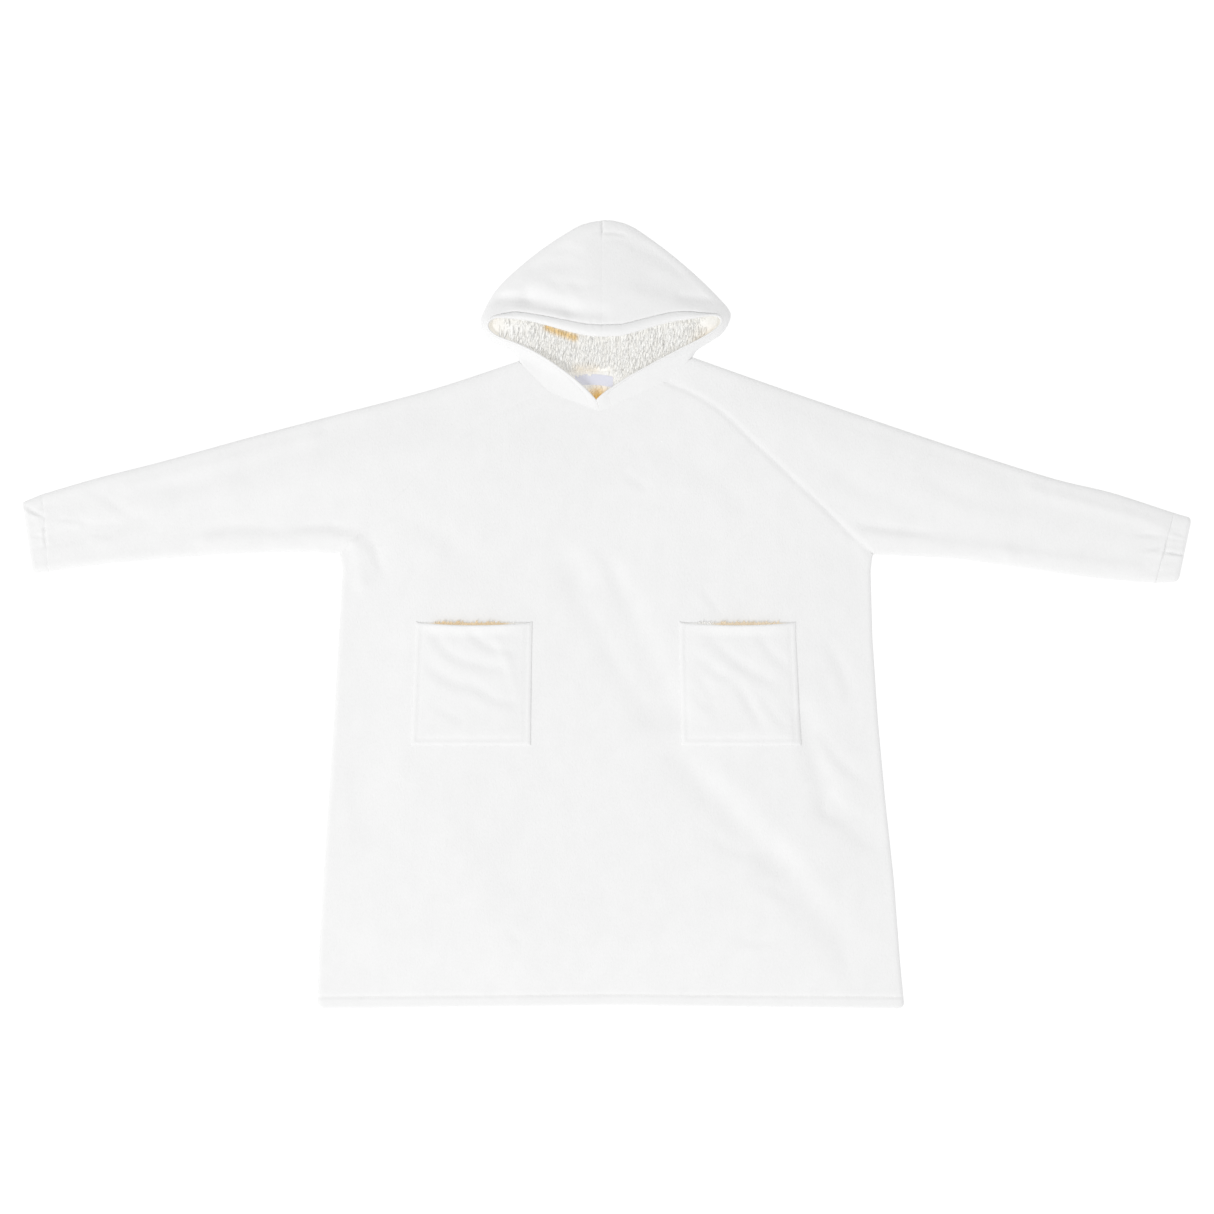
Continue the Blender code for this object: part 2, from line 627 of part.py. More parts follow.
def hood_half(side, table, material):
    """Half the hood: the front flap, round the side fold, and the layer on the table."""
    rows = smooth(table, HOOD_STATIONS)
    corner = np.array((RAGLAN_LEFT if side == "left" else RAGLAN_RIGHT)[-1])
    rim, shoulder = rows[0, :2], rows[0, 3:5]
    first = np.linalg.norm(corner - rim)
    corner_share = first / (first + np.linalg.norm(shoulder - corner))
    corner_move = corner - lerp(rim, shoulder, corner_share)
    seam_side = -1.0 if side == "left" else 1.0
    rows[-1, [0, 3]] = CENTRE_SEAM_X + seam_side * SEAM_GAP / 2
    outer_rows, inner_rows = [], []
    for station, row in zip(HOOD_STATIONS, rows):
        top, under = hood_flap(row, station, corner_share, corner_move)
        bottom, inside, fold = hood_back_layer(row, side)
        under[-1, :2] = (under[-1, :2] + fold) / 2
        outer_rows.append(np.vstack([top, bottom]))
        inner_rows.append(np.vstack([under, inside]))
    fold_first = len(top) - len(EDGE_STEPS)
    fold_last = len(top) + len(EDGE_STEPS) - 1
    outer, inner = np.array(outer_rows), np.array(inner_rows)
    for grid in (outer, inner):
        grid[0, :, 1] += NECK_GAP
        grid[0, fold_first:fold_last, 1] += FOLD_GAP
    build_wall("hood_" + side, outer, inner, material)


def hood_lining(material):
    """The pile that shows in the hood's mouth, lying on the hood's back layer."""
    left = np.array([(row[4], row[3]) for row in HOOD_LEFT])
    right = np.array([(row[4], row[3]) for row in HOOD_RIGHT])
    plan = []
    for y in LINING_ROWS:
        start = np.interp(y, left[:, 0], left[:, 1]) + LINING_INSET
        end = np.interp(y, right[:, 0], right[:, 1]) - LINING_INSET
        plan.append([(x, y) for x in np.linspace(start, end, LINING_COLUMNS)])
    plan = np.array(plan)
    dip = 1 - np.abs(np.linspace(-1.0, 1.0, LINING_COLUMNS))
    neck_y = NECK_BACK[1] + LINING_NECK_GAP
    plan[0, :, 1] -= (plan[0, :, 1] - neck_y) * dip * LINING_NECK_SHARE
    base = HOOD_CLOTH + SEAM_GAP
    rows, columns = plan.shape[:2]
    outer = np.dstack([plan, np.full((rows, columns), base + LINING_CLOTH)])
    outer[[0, -1], :, 2] -= LINING_CLOTH / 2
    outer[:, [0, -1], 2] = base + LINING_CLOTH / 2
    inner = np.dstack([plan, np.full((rows, columns), base)])
    build_wall("hood_lining", outer, inner, material)


def pocket(side, front, plush, pile):
    """A patch pocket made from the front's own points, moved out, and its pile at the mouth."""
    shares = list(COLUMN_SHARES)
    first, last = (shares.index(share) + 1 for share in POCKET_SHARES)
    middle = len(EDGE_STEPS) + len(shares)
    columns = slice(middle - last, middle - first + 1)
    if side == "right":
        columns = slice(middle + first, middle + last + 1)
    heights = body_heights(FRONT_ANCHORS, FRONT_SPACING)
    rows = slice(heights.index(POCKET_BOTTOM_Y), heights.index(POCKET_MOUTH_Y) + 1)
    base = front[rows, columns].copy()
    count_rows, count_columns = base.shape[:2]
    across = np.linspace(-1.0, 1.0, count_columns)
    base[-1, :, 1] -= MOUTH_SAG * (1 - across ** 2)
    gape = np.zeros((count_rows, count_columns))
    gape[-2:, 1:-1] = POCKET_PILE + SEAM_GAP
    thickness = np.full((count_rows, count_columns), POCKET_CLOTH)
    thickness[0, :] = POCKET_EDGE_THICKNESS
    thickness[:, [0, -1]] = POCKET_EDGE_THICKNESS
    inner = base.copy()
    inner[:, :, 2] += SEAM_GAP + gape
    outer = inner.copy()
    outer[:, :, 2] += thickness
    build_wall("pocket_" + side, outer, inner, plush)

    strip = base[[-2, -1, -1], 1:-1].copy()
    strip[2, :, 1] += PILE_SHOWS
    under = strip.copy()
    under[:, :, 2] += SEAM_GAP
    over = strip.copy()
    over[:, :, 2] += SEAM_GAP + POCKET_PILE
    over[2, :, 2] -= POCKET_PILE / 3
    build_wall("pocket_pile_" + side, over, under, pile)


def neck_label(material):
    """A bare woven label on the inside of the back, just under its neck seam."""
    base = CLOTH + SEAM_GAP
    plan = np.array([[(x, y) for x in (LABEL_LEFT_X, LABEL_RIGHT_X)]
                     for y in (LABEL_BOTTOM_Y, LABEL_TOP_Y)])
    outer = np.dstack([plan, np.full(plan.shape[:2], base + LABEL_CLOTH)])
    inner = np.dstack([plan, np.full(plan.shape[:2], base)])
    build_wall("neck_label", outer, inner, material)


def main():
    clear_scene()
    back_panel(finish("plush_back", PLUSH_BACK))
    front = front_panel(finish("plush_front", PLUSH))
    for side, table in (("left", HOOD_LEFT), ("right", HOOD_RIGHT)):
        shares = sleeve(side, finish("plush_sleeve_" + side, PLUSH))
        cuff(side, shares, finish("plush_cuff_" + side, PLUSH))
        hood_half(side, table, finish("plush_hood_" + side, PLUSH))
        pocket(side, front, finish("plush_pocket_" + side, PLUSH),
               finish("pile_pocket_" + side, PILE))
    hood_lining(finish("pile_hood", PILE))
    neck_label(finish("woven_label", WOVEN))


main()
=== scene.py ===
"""Looks of the wearable blanket hoodie, laid flat on a pale floor and seen from straight above.

Sizes are in millimetres in the row frame: X from cuff to cuff, Y from the hem to the hood,
Z up out of the front. Meshes are made in metres.
"""
import math

import bpy
import numpy as np
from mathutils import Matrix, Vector, noise


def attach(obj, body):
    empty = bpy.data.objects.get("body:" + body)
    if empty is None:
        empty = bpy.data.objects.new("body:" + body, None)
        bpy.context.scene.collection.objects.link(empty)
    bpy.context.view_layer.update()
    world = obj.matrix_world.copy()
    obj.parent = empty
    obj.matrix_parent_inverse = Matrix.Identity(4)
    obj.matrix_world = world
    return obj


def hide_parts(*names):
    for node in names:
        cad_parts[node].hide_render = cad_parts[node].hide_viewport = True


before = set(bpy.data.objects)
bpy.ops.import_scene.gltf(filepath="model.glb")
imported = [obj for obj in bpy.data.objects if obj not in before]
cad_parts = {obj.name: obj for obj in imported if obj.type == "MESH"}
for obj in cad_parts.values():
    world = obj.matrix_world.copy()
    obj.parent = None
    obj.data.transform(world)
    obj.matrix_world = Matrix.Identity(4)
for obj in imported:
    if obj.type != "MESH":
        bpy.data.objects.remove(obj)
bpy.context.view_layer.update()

MM = 0.001
SEED = 7
SHARP_ANGLE = 55.0       # faces that meet more sharply than this show a crisp edge

# Cloth and seams
CLOTH = 6.0
HOOD_CLOTH = 4.0
LINING_CLOTH = 3.6
POCKET_CLOTH = 3.4
POCKET_EDGE_THICKNESS = 0.8
LABEL_CLOTH = 0.8
LAYER_GAP = 0.3
SEAM_GAP = 0.02
FOLD_GAP = 0.6
EDGE_THICKNESS = 1.2
RAGLAN_GROOVE = {"left": 0.5, "right": 1.5}
NECK_GROOVE = 0.35
GROOVE_WIDTH = 5.0
CUFF_GROOVE = 0.9
CUFF_CORNER = {"left": 1.5, "right": 5.0}
GROOVE_REACH = 7.0
LAYER = CLOTH + LAYER_GAP
FLAT_TOP = LAYER + CLOTH
MIDDLE = FLAT_TOP / 2

# Rounded edges: where the fine rows and columns lie, from the outline inwards
EDGE_REACH = 8.0
HEM_REACH = 4.5
TUBE_REACH = 12.0
SIDE_REACH = 8.0
HOOD_REACH = 14.0
EDGE_FINE = (0.0, 0.3, 0.9, 1.7, 2.8, 4.2, 6.0, 8.0)
INNER_EDGE = ((0.0, 2.5, 8.0), (6.0, 6.9, 8.0))
SPACING = 4.8            # of the front's rows and columns away from its edges
BACK_SPACING = 7.0
SLEEVE_SPACING = 5.0

# Body
HEM_Y = -592.0
HEM_ARCH = 5.0
HEM_ARCH_REACH = 80.0
HEM_CORNER = 10.0
HEM_STITCH = 18.0        # height of the hem's stitch line
HEM_STITCH_WIDTH = 2.4
HEM_STITCH_DEPTH = 0.3   # as a share of the thickness
HEM_STITCH_UNDER = 0.9
HEM_PUCKER = 0.16
HEM_PUCKER_SIZE = 8.0
HEM_PUCKER_SEED = 1.7
HEM_STITCH_ENDS = 6      # columns at each end of the hem without stitches
HEM_FINE = (*EDGE_FINE, 10.5, 13.0, 15.0, 16.5, 18.0, 19.5, 21.0, 23.5)
UNDERARM_Y = 90.0
BODY_SIDES = (           # y, left x, right x
    (-592, -436, 446),
    (-518, -434, 439),
    (-398, -427, 430),
    (-278, -419, 417),
    (-158, -411, 406),
    (-38, -404, 398),
    (65, -398, 395),
    (90, -401.5, 398),
)
RAGLAN = {               # x, y
    "left": (
        (-401.5, 90), (-364, 130), (-307, 184), (-262, 232),
        (-209, 275), (-169, 298), (-128, 317), (-88, 334),
    ),
    "right": (
        (398, 90), (361, 124), (298, 185), (235, 244),
        (176, 300), (142, 324), (112, 339), (88, 350),
    ),
}
RAGLAN_END = 7.0         # position of the table's last row, at the neck
RAGLAN_STEP = 58.0       # mean length between two rows of the table
RAGLAN_EVEN_END = 6.75   # where even spacing ends
RAGLAN_FINE = (0.2, 0.14, 0.09, 0.05, 0.02, 0.0)     # positions before the neck
RAGLAN_SAMPLES = 40
SIDES = {"left": -1.0, "right": 1.0}         # and the sign of x there
BACK_NECK_SHARE = 0.53
NECK_FRONT = (-11.0, 305.0)
NECK_BACK = (-8.0, 363.0)
SHOULDER = {"left": (-134.0, 380.5), "right": (128.0, 386.5)}

# Sleeves and cuffs
SLEEVE_SECTIONS = {      # top x, top y, bottom x, bottom y
    "left": (
        (-134, 380.5, -401.5, 90),
        (-262, 338.5, -452, 93.5),
        (-400, 302, -528, 92),
        (-530, 268, -620, 87),
        (-668, 230, -715, 79),
        (-762, 206, -783, 72),
        (-848, 181, -839, 64),
    ),
    "right": (
        (128, 386.5, 398, 90),
        (255, 341.5, 451, 87.5),
        (397, 293, 526, 83),
        (525, 250, 615, 71),
        (667, 205, 712, 57),
        (757, 183, 770, 51),
        (850, 153, 822, 47),
    ),
}
RAGLAN_BLEND = 0.6
CUFF_ENDS = {            # top x, top y, bottom x, bottom y
    "left": (-878.5, 168.5, -862, 61),
    "right": (877, 145, 857, 49),
}
CUFF_STATIONS = (0.0, 0.2, 0.85, 1.0)
CUFF_FULLNESS = (0.86, 0.97, 0.9, 0.55)
CUFF_PUCKERS = {         # share across from underarm to fold, half width, depth
    "left": ((0.12, 0.04, 0.3), (0.31, 0.03, 0.7), (0.44, 0.04, 0.5), (0.58, 0.03, 0.6),
             (0.73, 0.04, 0.4), (0.88, 0.03, 0.5)),
    "right": ((0.10, 0.04, 0.4), (0.27, 0.04, 0.5), (0.43, 0.025, 1), (0.56, 0.04, 0.6),
              (0.66, 0.03, 0.8), (0.84, 0.035, 0.5)),
}
GATHER_REACH = 45.0      # how far the cuff's puckers run up the sleeve
GATHER_POWER = 1.5
CUFF_GATHER = 1.3        # how much deeper the puckers are on the cuff
CUFF_GATHER_LOST = 0.75  # share of that depth that is gone at the cuff's end

# Relief of the front
PUFF = 8.0
PUFF_REACH = 80.0
FOLD_FADE = 25.0
SOFT_POWER = 6.0         # how softly the nearest of two edges hands over to the other
FOLDS = (                # start x, start y, end x, end y, half width, height
    (-56, 68, 71, -146, 26, -4.2),
    (14, 52, 109, -154, 20, -3),
    (-20, 20, 60, -120, 16, 2.2),
    (109, -217, 260, -370, 26, -4),
    (260, -370, 384, -532, 30, -4.4),
    (170, -240, 330, -420, 24, 2.4),
    (292, -150, 332, -290, 18, -3.6),
    (332, -290, 392, -330, 18, -3),
    (-378, 108, -368, 48, 12, 3),
    (-600, 104, -392, 110, 14, 3.2),
    (384, 112, 600, 88, 14, 3.6),
    (600, 88, 790, 64, 13, 3),
    (240, 300, 560, 190, 34, 2.6),
    (-560, 196, -260, 262, 34, 2.4),
    (-820, 118, -700, 142, 14, -2.8),
    (640, 188, 830, 136, 14, 2.8),
    (-720, 196, -440, 268, 14, 2),
    (-240, -300, -140, -520, 40, 2),
    (-330, -60, -352, -330, 26, -2.4),
)

# Finer creases, each through three points, with a ridge beside each
CREASE_SAMPLES = 9
CREASE_REACH = 4.0       # in half widths
RIDGE_HEIGHT = 0.45      # by the crease's height
RIDGE_PLACE = 1.7        # by its half width
RIDGE_WIDTH = 1.3
CREASES = (              # start x, y, middle x, y, end x, y, half width, height
    (140, 40, 158, 18, 172, -6, 6, -1),
    (22, 214, 44, 200, 64, 188, 7, -1),
    (198, -486, 225, -492, 252, -488, 6, -1),
    (-150, -470, -140, -482, -128, -490, 6, -0.8),
    (330, -40, 352, -84, 366, -132, 9, -1.5),
    (318, -168, 344, -214, 386, -250, 9, -1.6),
    (120, -60, 150, -110, 168, -160, 10, -1),
    (-30, 120, 6, 70, 30, 10, 12, -1.4),
    (150, -330, 190, -352, 236, -360, 10, -1.1),
    (222, -402, 250, -412, 276, -430, 8, -1),
    (-300, 150, -240, 110, -190, 60, 18, -1.2),
    (60, 260, 150, 210, 230, 150, 20, -1.2),
    (-360, -180, -372, -260, -366, -350, 14, -1.4),
    (-640, 118, -560, 134, -480, 128, 9, -1.4),
    (-700, 190, -620, 196, -540, 220, 12, -1.1),
    (-800, 150, -770, 128, -740, 118, 7, -1.3),
    (-780, 192, -740, 166, -708, 146, 8, -1),
    (470, 210, 540, 176, 620, 160, 14, -1.4),
    (330, 226, 380, 190, 470, 160, 14, -1.2),
    (795, 118, 810, 120, 826, 118.5, 4, -1.5),
    (806, 96, 818, 99, 831, 102.5, 3.5, -1.9),
    (-470, 130, -420, 133, -372, 119, 6, -2.2),
    (-356, 112, -347, 92, -338, 62, 7, -2.4),
    (-826, 142, -812, 143, -796, 140, 4, -0.9),
    (841, 110, 837.5, 96, 834, 82, 2.2, -2.2),
    (-844.5, 132, -843.5, 117, -842, 102, 2.2, -2.2),
    (-849, 180, -847, 171, -845.5, 162, 2, -2),
    (372, 136, 410, 131, 490, 122, 6, -2.2),
    (-280, -14, -212, -17, -128, -12, 8, 2.6),
    (128, -12, 196, -17, 272, -12, 8, 2.4),
)
CUFF_CREASES = {         # as CREASES
    "left": ((-875, 164, -864, 155.5, -847, 148, 2.8, -2.8),
             (-866, 118, -856, 118, -846, 117, 3, -0.9)),
    "right": ((838, 94, 850, 91.5, 866, 89, 2, -2.2),
              (846, 124, 856, 122, 868, 118, 3, -0.9)),
}
BACK_CREASES = (         # as CREASES, pressed up from the table
    (-260, 60, -180, -20, -120, -140, 12, -1),
    (180, 40, 240, -60, 250, -180, 14, -1.1),
    (-60, -200, 40, -300, 180, -380, 16, -1.2),
    (-330, -260, -300, -380, -230, -480, 12, -0.9),
    (300, -260, 330, -380, 380, -480, 13, -1),
    (-120, 200, -40, 160, 60, 150, 12, -0.8),
)
MOTTLES = (              # size, height, stretch along the brushed nap
    (60, 0.6, 1.4),
    (19, 0.2, 1.2),
    (7, 0.1, 1),
)

# Pockets
POCKET_SHARES = (0.275, 0.711)
POCKET_BOTTOM_Y = -196.0
POCKET_MOUTH_Y = -10.0
POCKET_PILE = 1.4
POCKET_GAP = 0.1
POCKET_GAPE = 1.6        # how far the middle of the mouth stands open
MOUTH_SAG = 6.0
POCKET_STITCH = 8.0
POCKET_STITCH_WIDTH = 1.8
POCKET_STITCH_DEPTH = 0.9
POCKET_STITCH_END = 8.0  # below the mouth
SAG_ZONE = (0.2, 0.8)    # length and start, by the pocket's height
GAPE_ZONE = (0.08, 0.9)
GAPE_REACH = 70.0        # in from the pocket's sides
POCKET_EDGE_REACH = 9.0
MOUTH_THINNING = 0.35
MOUTH_REACH = 5.0
LOOSE_REACH = 14.0       # in from the stitch line
POCKET_PUFF_REACH = 30.0
POCKET_MOTTLE_REACH = 4.0
POCKET_CREASES = {       # as CREASES
    "left": (
        (-268, -18, -230, -62, -150, -84, 8, -1.9),
        (-212, -14, -184, -44, -134, -58, 7, -1.7),
        (-276, -70, -236, -98, -182, -112, 9, -1.6),
        (-208, -96, -172, -124, -128, -134, 8, -1.5),
        (-262, -132, -236, -150, -214, -154, 7, -0.9),
        (-170, -30, -150, -70, -138, -120, 7, 1.2),
    ),
    "right": (
        (132, -58, 160, -84, 190, -96, 8, -1.6),
        (150, -30, 196, -72, 262, -108, 9, -2),
        (190, -96, 214, -136, 232, -168, 8, -1.6),
        (222, -22, 246, -58, 270, -78, 8, -1.4),
        (128, -112, 142, -132, 160, -140, 7, -0.9),
        (230, -120, 250, -150, 270, -168, 7, -1),
    ),
}

# Hood
CENTRE_SEAM_X = -8.0
HOOD_PEAK_Y = 592.0
HOOD = {                 # rim x, rim y, rim height, edge x, edge y, back seam y
    "left": (
        (-11.04, 305, 13, -134, 380.5, 363),
        (-17.04, 322, 18, -136.5, 385.5, 374),
        (-46, 351, 22, -139.5, 390, 384),
        (-90, 383, 25, -151, 399, 396),
        (-127, 403, 25, -170, 407, 409),
        (-165, 418, 22, -185, 418, 422),
        (-178, 432, 21, -191, 434, 436),
        (-167, 443, 24, -187, 453, 452),
        (-126, 440, 28, -169, 485, 470),
        (-92, 432, 33, -140, 515, 491),
        (-61, 423, 38, -98, 549, 514),
        (-32, 416, 41, -50, 580, 538),
        (-19, 414.6, 41.8, -28, 588.5, 551),
        (-8, 414, 42, -8, 592, 562),
    ),
    "right": (
        (-10.96, 305, 13, 128, 386.5, 363),
        (-16.96, 322, 18, 130, 390.5, 374),
        (20, 350, 22, 133, 395, 384),
        (64, 375, 25, 141, 401, 396),
        (106, 397, 26, 154, 409, 409),
        (148, 419, 24, 170, 420, 422),
        (168, 436, 22, 182, 437, 436),
        (160, 446, 25, 184, 455, 452),
        (122, 441, 30, 165, 478, 470),
        (92, 436, 34, 130, 512, 491),
        (58, 426, 38, 87, 548, 514),
        (23, 416, 41, 40, 581, 538),
        (7, 414.6, 41.8, 12, 591, 551),
        (-8, 414, 42, -8, 592.5, 562),
    ),
}
HOOD_SECTION_STEP = 0.1
NECK_ROW = 15.0          # length of the first section, from the neck seam
KINK_REACH = 2.5
NARROW = 60.0
RIM_COLUMNS = (0.0, 0.3, 0.8, 1.6, 2.8, 4.2, 6.0, 8.0, 10.0, 12.0, 13.5, 15.0, 16.2, 17.2, 18.0,
               18.8, 19.8, 21.2, 22.8, 25.0, 28.0)
RIM_PROFILE = (          # distance from the rim, upper offset over the mouth, along the V, lower
    (0, 0.4, 0.4, -0.4),
    (0.8, 1.8, 1.7, -1.6),
    (2.8, 3.3, 2.8, -2.8),
    (6, 4.4, 3.4, -3.6),
    (9, 4.4, 3.5, -3.8),
    (12, 3.6, 3.3, -3.4),
    (15, 2.2, 2.7, -2.8),
    (17.2, 0.6, 2, -2.5),
    (18, -1.5, 1.6, -2.4),
    (18.8, 0.9, 1.8, -2.4),
    (19.8, 1.8, 2, -2.2),
    (22.8, 2.1, 2, -2),
    (28, 2, 2, -2),
)
V_STATIONS = (6.9, 7.6)  # the rim's seam is faint before the first and full after the second
RIM_SEAM = 18.0
FLAT_STATIONS = 1.6
FLAT_LEAST = 0.1
RIM_PUCKER = 0.8
RIM_PUCKER_WIDTH = 5.0
RIM_PUCKERS = ((5.0, 3.1, 1.0), (2.6, 0.4, 0.5))     # size, seed, share
FLAP_COLUMNS = (16, 20)      # from the rim to the corner, and on to the side fold
BACK_LAYER_COLUMNS = 20
HOOD_FOLD_FADE = 14.0
HOOD_SLOPE = 1.3
HOOD_FOLDS = (           # start x, start y, end x, end y, half width, height
    (-180, 476, -120, 474, 11, -5.8),
    (-120, 474, -58, 456, 13, -6.8),
    (-58, 456, -6, 448, 11, -3),
    (-176, 486, -130, 484, 6, 1.6),
    (-110, 520, -60, 530, 14, -2.4),
    (60, 500, 130, 474, 18, -2.4),
    (110, 476, 172, 472, 8, -2.6),
    (60, 548, 110, 516, 12, -2),
)
HOOD_CREASES = (         # as CREASES
    (-90, 544, -62, 548, -34, 538, 7, -1.3),
    (-54, 500, -42, 486, -28, 478, 8, -1),
    (6, 566, 30, 560, 54, 540, 8, -1),
    (-16, 571.5, 10, 572, 30, 568.5, 2.6, -1.6),
    (-70, 500, -40, 492, -14, 494, 6, -1.1),
    (-96, 508, -76, 496, -58, 478, 7, -1.2),
    (30, 500, 56, 490, 84, 486, 9, -0.9),
)
LINING_INSET = 15.0
LINING_BOTTOM = 386.0
LINING_TOP = 548.0
LINING_NECK_GAP = 3.0
LINING_NECK_SHARE = 0.9
LABEL_LEFT_X = -49.0
LABEL_RIGHT_X = 8.0
LABEL_TOP_Y = 361.0
LABEL_BOTTOM_Y = 345.0

SEAM_FINE = (0.0, 0.6, 1.4, 2.5, 3.8, 5.4, 7.0, 9.5)
SLEEVE_COLUMNS = 44
NECK_POINTS = 16
START_SAMPLES = 60       # along the raglan seam, where a sleeve starts
CUFF_ROWS = (0.0, 0.02, 0.05, 0.1, 0.17, 0.26, 0.37, 0.49, 0.61, 0.73, 0.84, 0.92, 0.97, 1.0)
CENTRE_GROOVE = 0.35
PEAK_GROOVE = 3.4
PEAK_GROOVE_LENGTH = 20.0
CENTRE_GROOVE_WIDTH = 1.9
CENTRE_GROOVE_UNDER = 0.6        # depth under the hood by that on top
LINING_SPACING = 3.6
LINING_HALF_WIDTH = 170.0
LINING_SWELLS = (        # start x, start y, end x, end y, half width, height
    (-100, 424, 90, 428, 30, 11),
    (-30, 400, 40, 402, 22, 3.5),
    (-164, 431, -128, 428, 19, 11),
    (124, 428, 154, 434, 19, 10.5),
)
LINING_EDGE = 8.0
LINING_FADE = 12.0       # how far in from the edge the swells and lumps are full
LINING_WALL = 1.0        # how much thicker the lining is over its swells
LINING_LUMP = 1.3
LINING_LUMPS = ((9.0, 14.0, 5.0, 1.0), (24.0, 15.0, 8.0, 1.6))     # size x, size y, seed, share
POCKET_SPACING = 4.0
POCKET_COLUMNS = 44
POCKET_PUFF = 2.0
POCKET_PILE_DEPTH = 12.0
PILE_SHOWS = 5.0
PILE_DIPS = 1.5          # how far it ends below the mouth at the ends
PILE_CURVE = 0.8
PILE_STRIP = (           # share up the strip, thickness by POCKET_PILE
    (0, 0.9), (0.25, 0.9), (0.5, 0.765), (0.75, 0.54), (1, 0.18),
)
MOUTH_ENDS = 4           # columns at each end of the mouth that show no pile
LABEL_LIFT = 1.0
LABEL_BOW = 4.0
LABEL_BOW_X = -26.0
LABEL_GRID = (40, 14)
LABEL_WAVE = 9.0         # length of its wave, for each radian
LABEL_WAVE_SHARE = 0.3
LABEL_EVEN_SHARE = 0.7

# Pile locks and thread
LOCK_SIDES = 4
LOCK_RINGS = ((0.0, 1.0), (0.35, 1.1), (0.7, 0.7))
LOCK_TWIST = 4.0
LOCK_LENGTHS = (0.65, 1.25)      # shortest and longest, by the table's length
LOCK_WIDTHS = (0.7, 1.3)
LOCK_CURLS = (0.4, 1.0)
LOCK_ROLL = 0.3
LOCK_ROOT = 0.12         # share of a lock that is below its root
LOCK_SWAY = 0.6
LOCK_TIP = (0.92, 1.1)   # how far the tip is along the lock, and across by its curl
LOCKS = {                # length, width, thickness by width, how upright, comb along Y, spread, curl
    "lining": (17.0, 6.4, 0.12, 0.085, -1.0, 0.07, 0.07),
    "neck": (8.0, 3.8, 0.35, 0.25, -0.9, 0.14, 0.14),
    "flap": (5.0, 3.0, 1.0, 1.0, 0.0, 0.45, 0.5),
    "pocket": (4.5, 2.6, 0.7, 0.6, 0.9, 0.3, 0.4),
}
LINING_LOCK_SPACING = 2.8
NECK_LOCK_SPACING = 2.4
LABEL_CLEAR = 2.0
LINING_LOCK_MARGIN = 7.0
LINING_LOCK_TIP = 17.0
LINING_LOCK_ENDS = (-158.0, -112.0, 116.0, 152.0)     # sparse, full, full, sparse
LINING_LOCK_LEAST = 0.04
FLAP_LOCK_SPACING = 4.2
FLAP_LOCK_COLUMNS = (2, 16)
FLAP_LOCK_STATION = 6.5
POCKET_LOCK_SPACING = 2.2
FRILL_HALF_WIDTH = 62.0
STITCH_PITCH = 3.8
STITCH_LENGTH = 3.0
STITCH_SIDES = 5
STITCH_RINGS = ((0.0, 0.3, -0.3), (0.15, 0.9, 0.05), (0.5, 1.0, 0.15), (0.85, 0.9, 0.05),
                (1.0, 0.3, -0.3))
THREAD = 0.7

# Finishes
PLUSH_LIGHT = (0.90, 0.90, 0.90)
PLUSH_DARK = (0.885, 0.885, 0.885)
PILE_PAINTED_GLOW = 0.43         # painted light: a glow that stands in for light that passes through the white fibres and lifts the shade between the locks and in the hood's mouth
PILE_LIGHT = (0.70, 0.696, 0.68)
PILE_DARK = (0.665, 0.654, 0.625)
# colour of the painted shade in deep pile
TAN = (0.62, 0.42, 0.14)
PAINTED_SHADE_SPOTS = (            # start x, y, end x, y, radius, strength: painted warm shade where the pile is deep
    (-14.0, 326.0, -14.0, 326.0, 26.0, 1.0),
    (-90.0, 430.0, -82.0, 426.0, 9.0, 0.85),
    (-82.0, 426.0, -50.0, 415.0, 10.0, 0.85),
    (-46.0, 368.0, -20.0, 368.0, 14.0, 0.15),
    (146.0, 412.0, 146.0, 412.0, 34.0, 0.14),
    (-172.0, 430.0, -172.0, 430.0, 34.0, 0.05),
    (-250.0, -10.0, -160.0, -10.0, 22.0, 0.6),
    (172.0, -10.0, 254.0, -10.0, 22.0, 0.45),
)
PAINTED_SHADE_STEP = 5.0
PLUSH_PATCHES = (38.0, 5.0, (1.0, 0.7, 1.0))         # scale, detail, stretch
PLUSH_PATCH_ENDS = (0.35, 0.65)
PLUSH_NAP = (            # scale, detail, stretch, height
    (420.0, 3.0, (1.0, 0.55, 1.0), 0.5),
    (1500.0, 2.0, (1.0, 0.6, 1.0), 0.25),
)
PILE_CLUMPS = (170.0, 4.0, (1.0, 0.3, 1.0))          # as PLUSH_PATCHES
PILE_CLUMP_ENDS = (0.3, 0.6)
PILE_FIBRES = (          # as PLUSH_NAP
    (420.0, 3.0, (1.0, 0.3, 1.0), 0.6),
    (1400.0, 2.0, (1.0, 0.5, 1.0), 0.2),
)
THREAD_TWIST = ((2500.0, 1.0, (1.0, 1.0, 1.0), 0.1),)
WEAVE_SCALE = 600.0
WEAVE_HEIGHT = 0.1
# white tape with a little blue, made darker by painted shade
SHADED_WOVEN_COLOR = (0.82, 0.83, 0.93)
THREAD_COLOR = (0.88, 0.87, 0.85)
FLOOR_COLOR = (0.2, 0.2, 0.2)
FLOOR_GLOW = 0.88
FLOOR_SIZE = 30000.0
FLOOR_Z = -0.3

# View and light
FILL = 0.78
KEY = 535.0
KEY_SIZE = 5200.0
KEY_PLACE = (-6000.0, -6300.0, 9150.0)
PIXELS = 1214
MM_PER_PIXEL = 1.5
FRAME_CENTRE = (-0.75, 11.25)
SENSOR = 36.0
LENS = 85.0


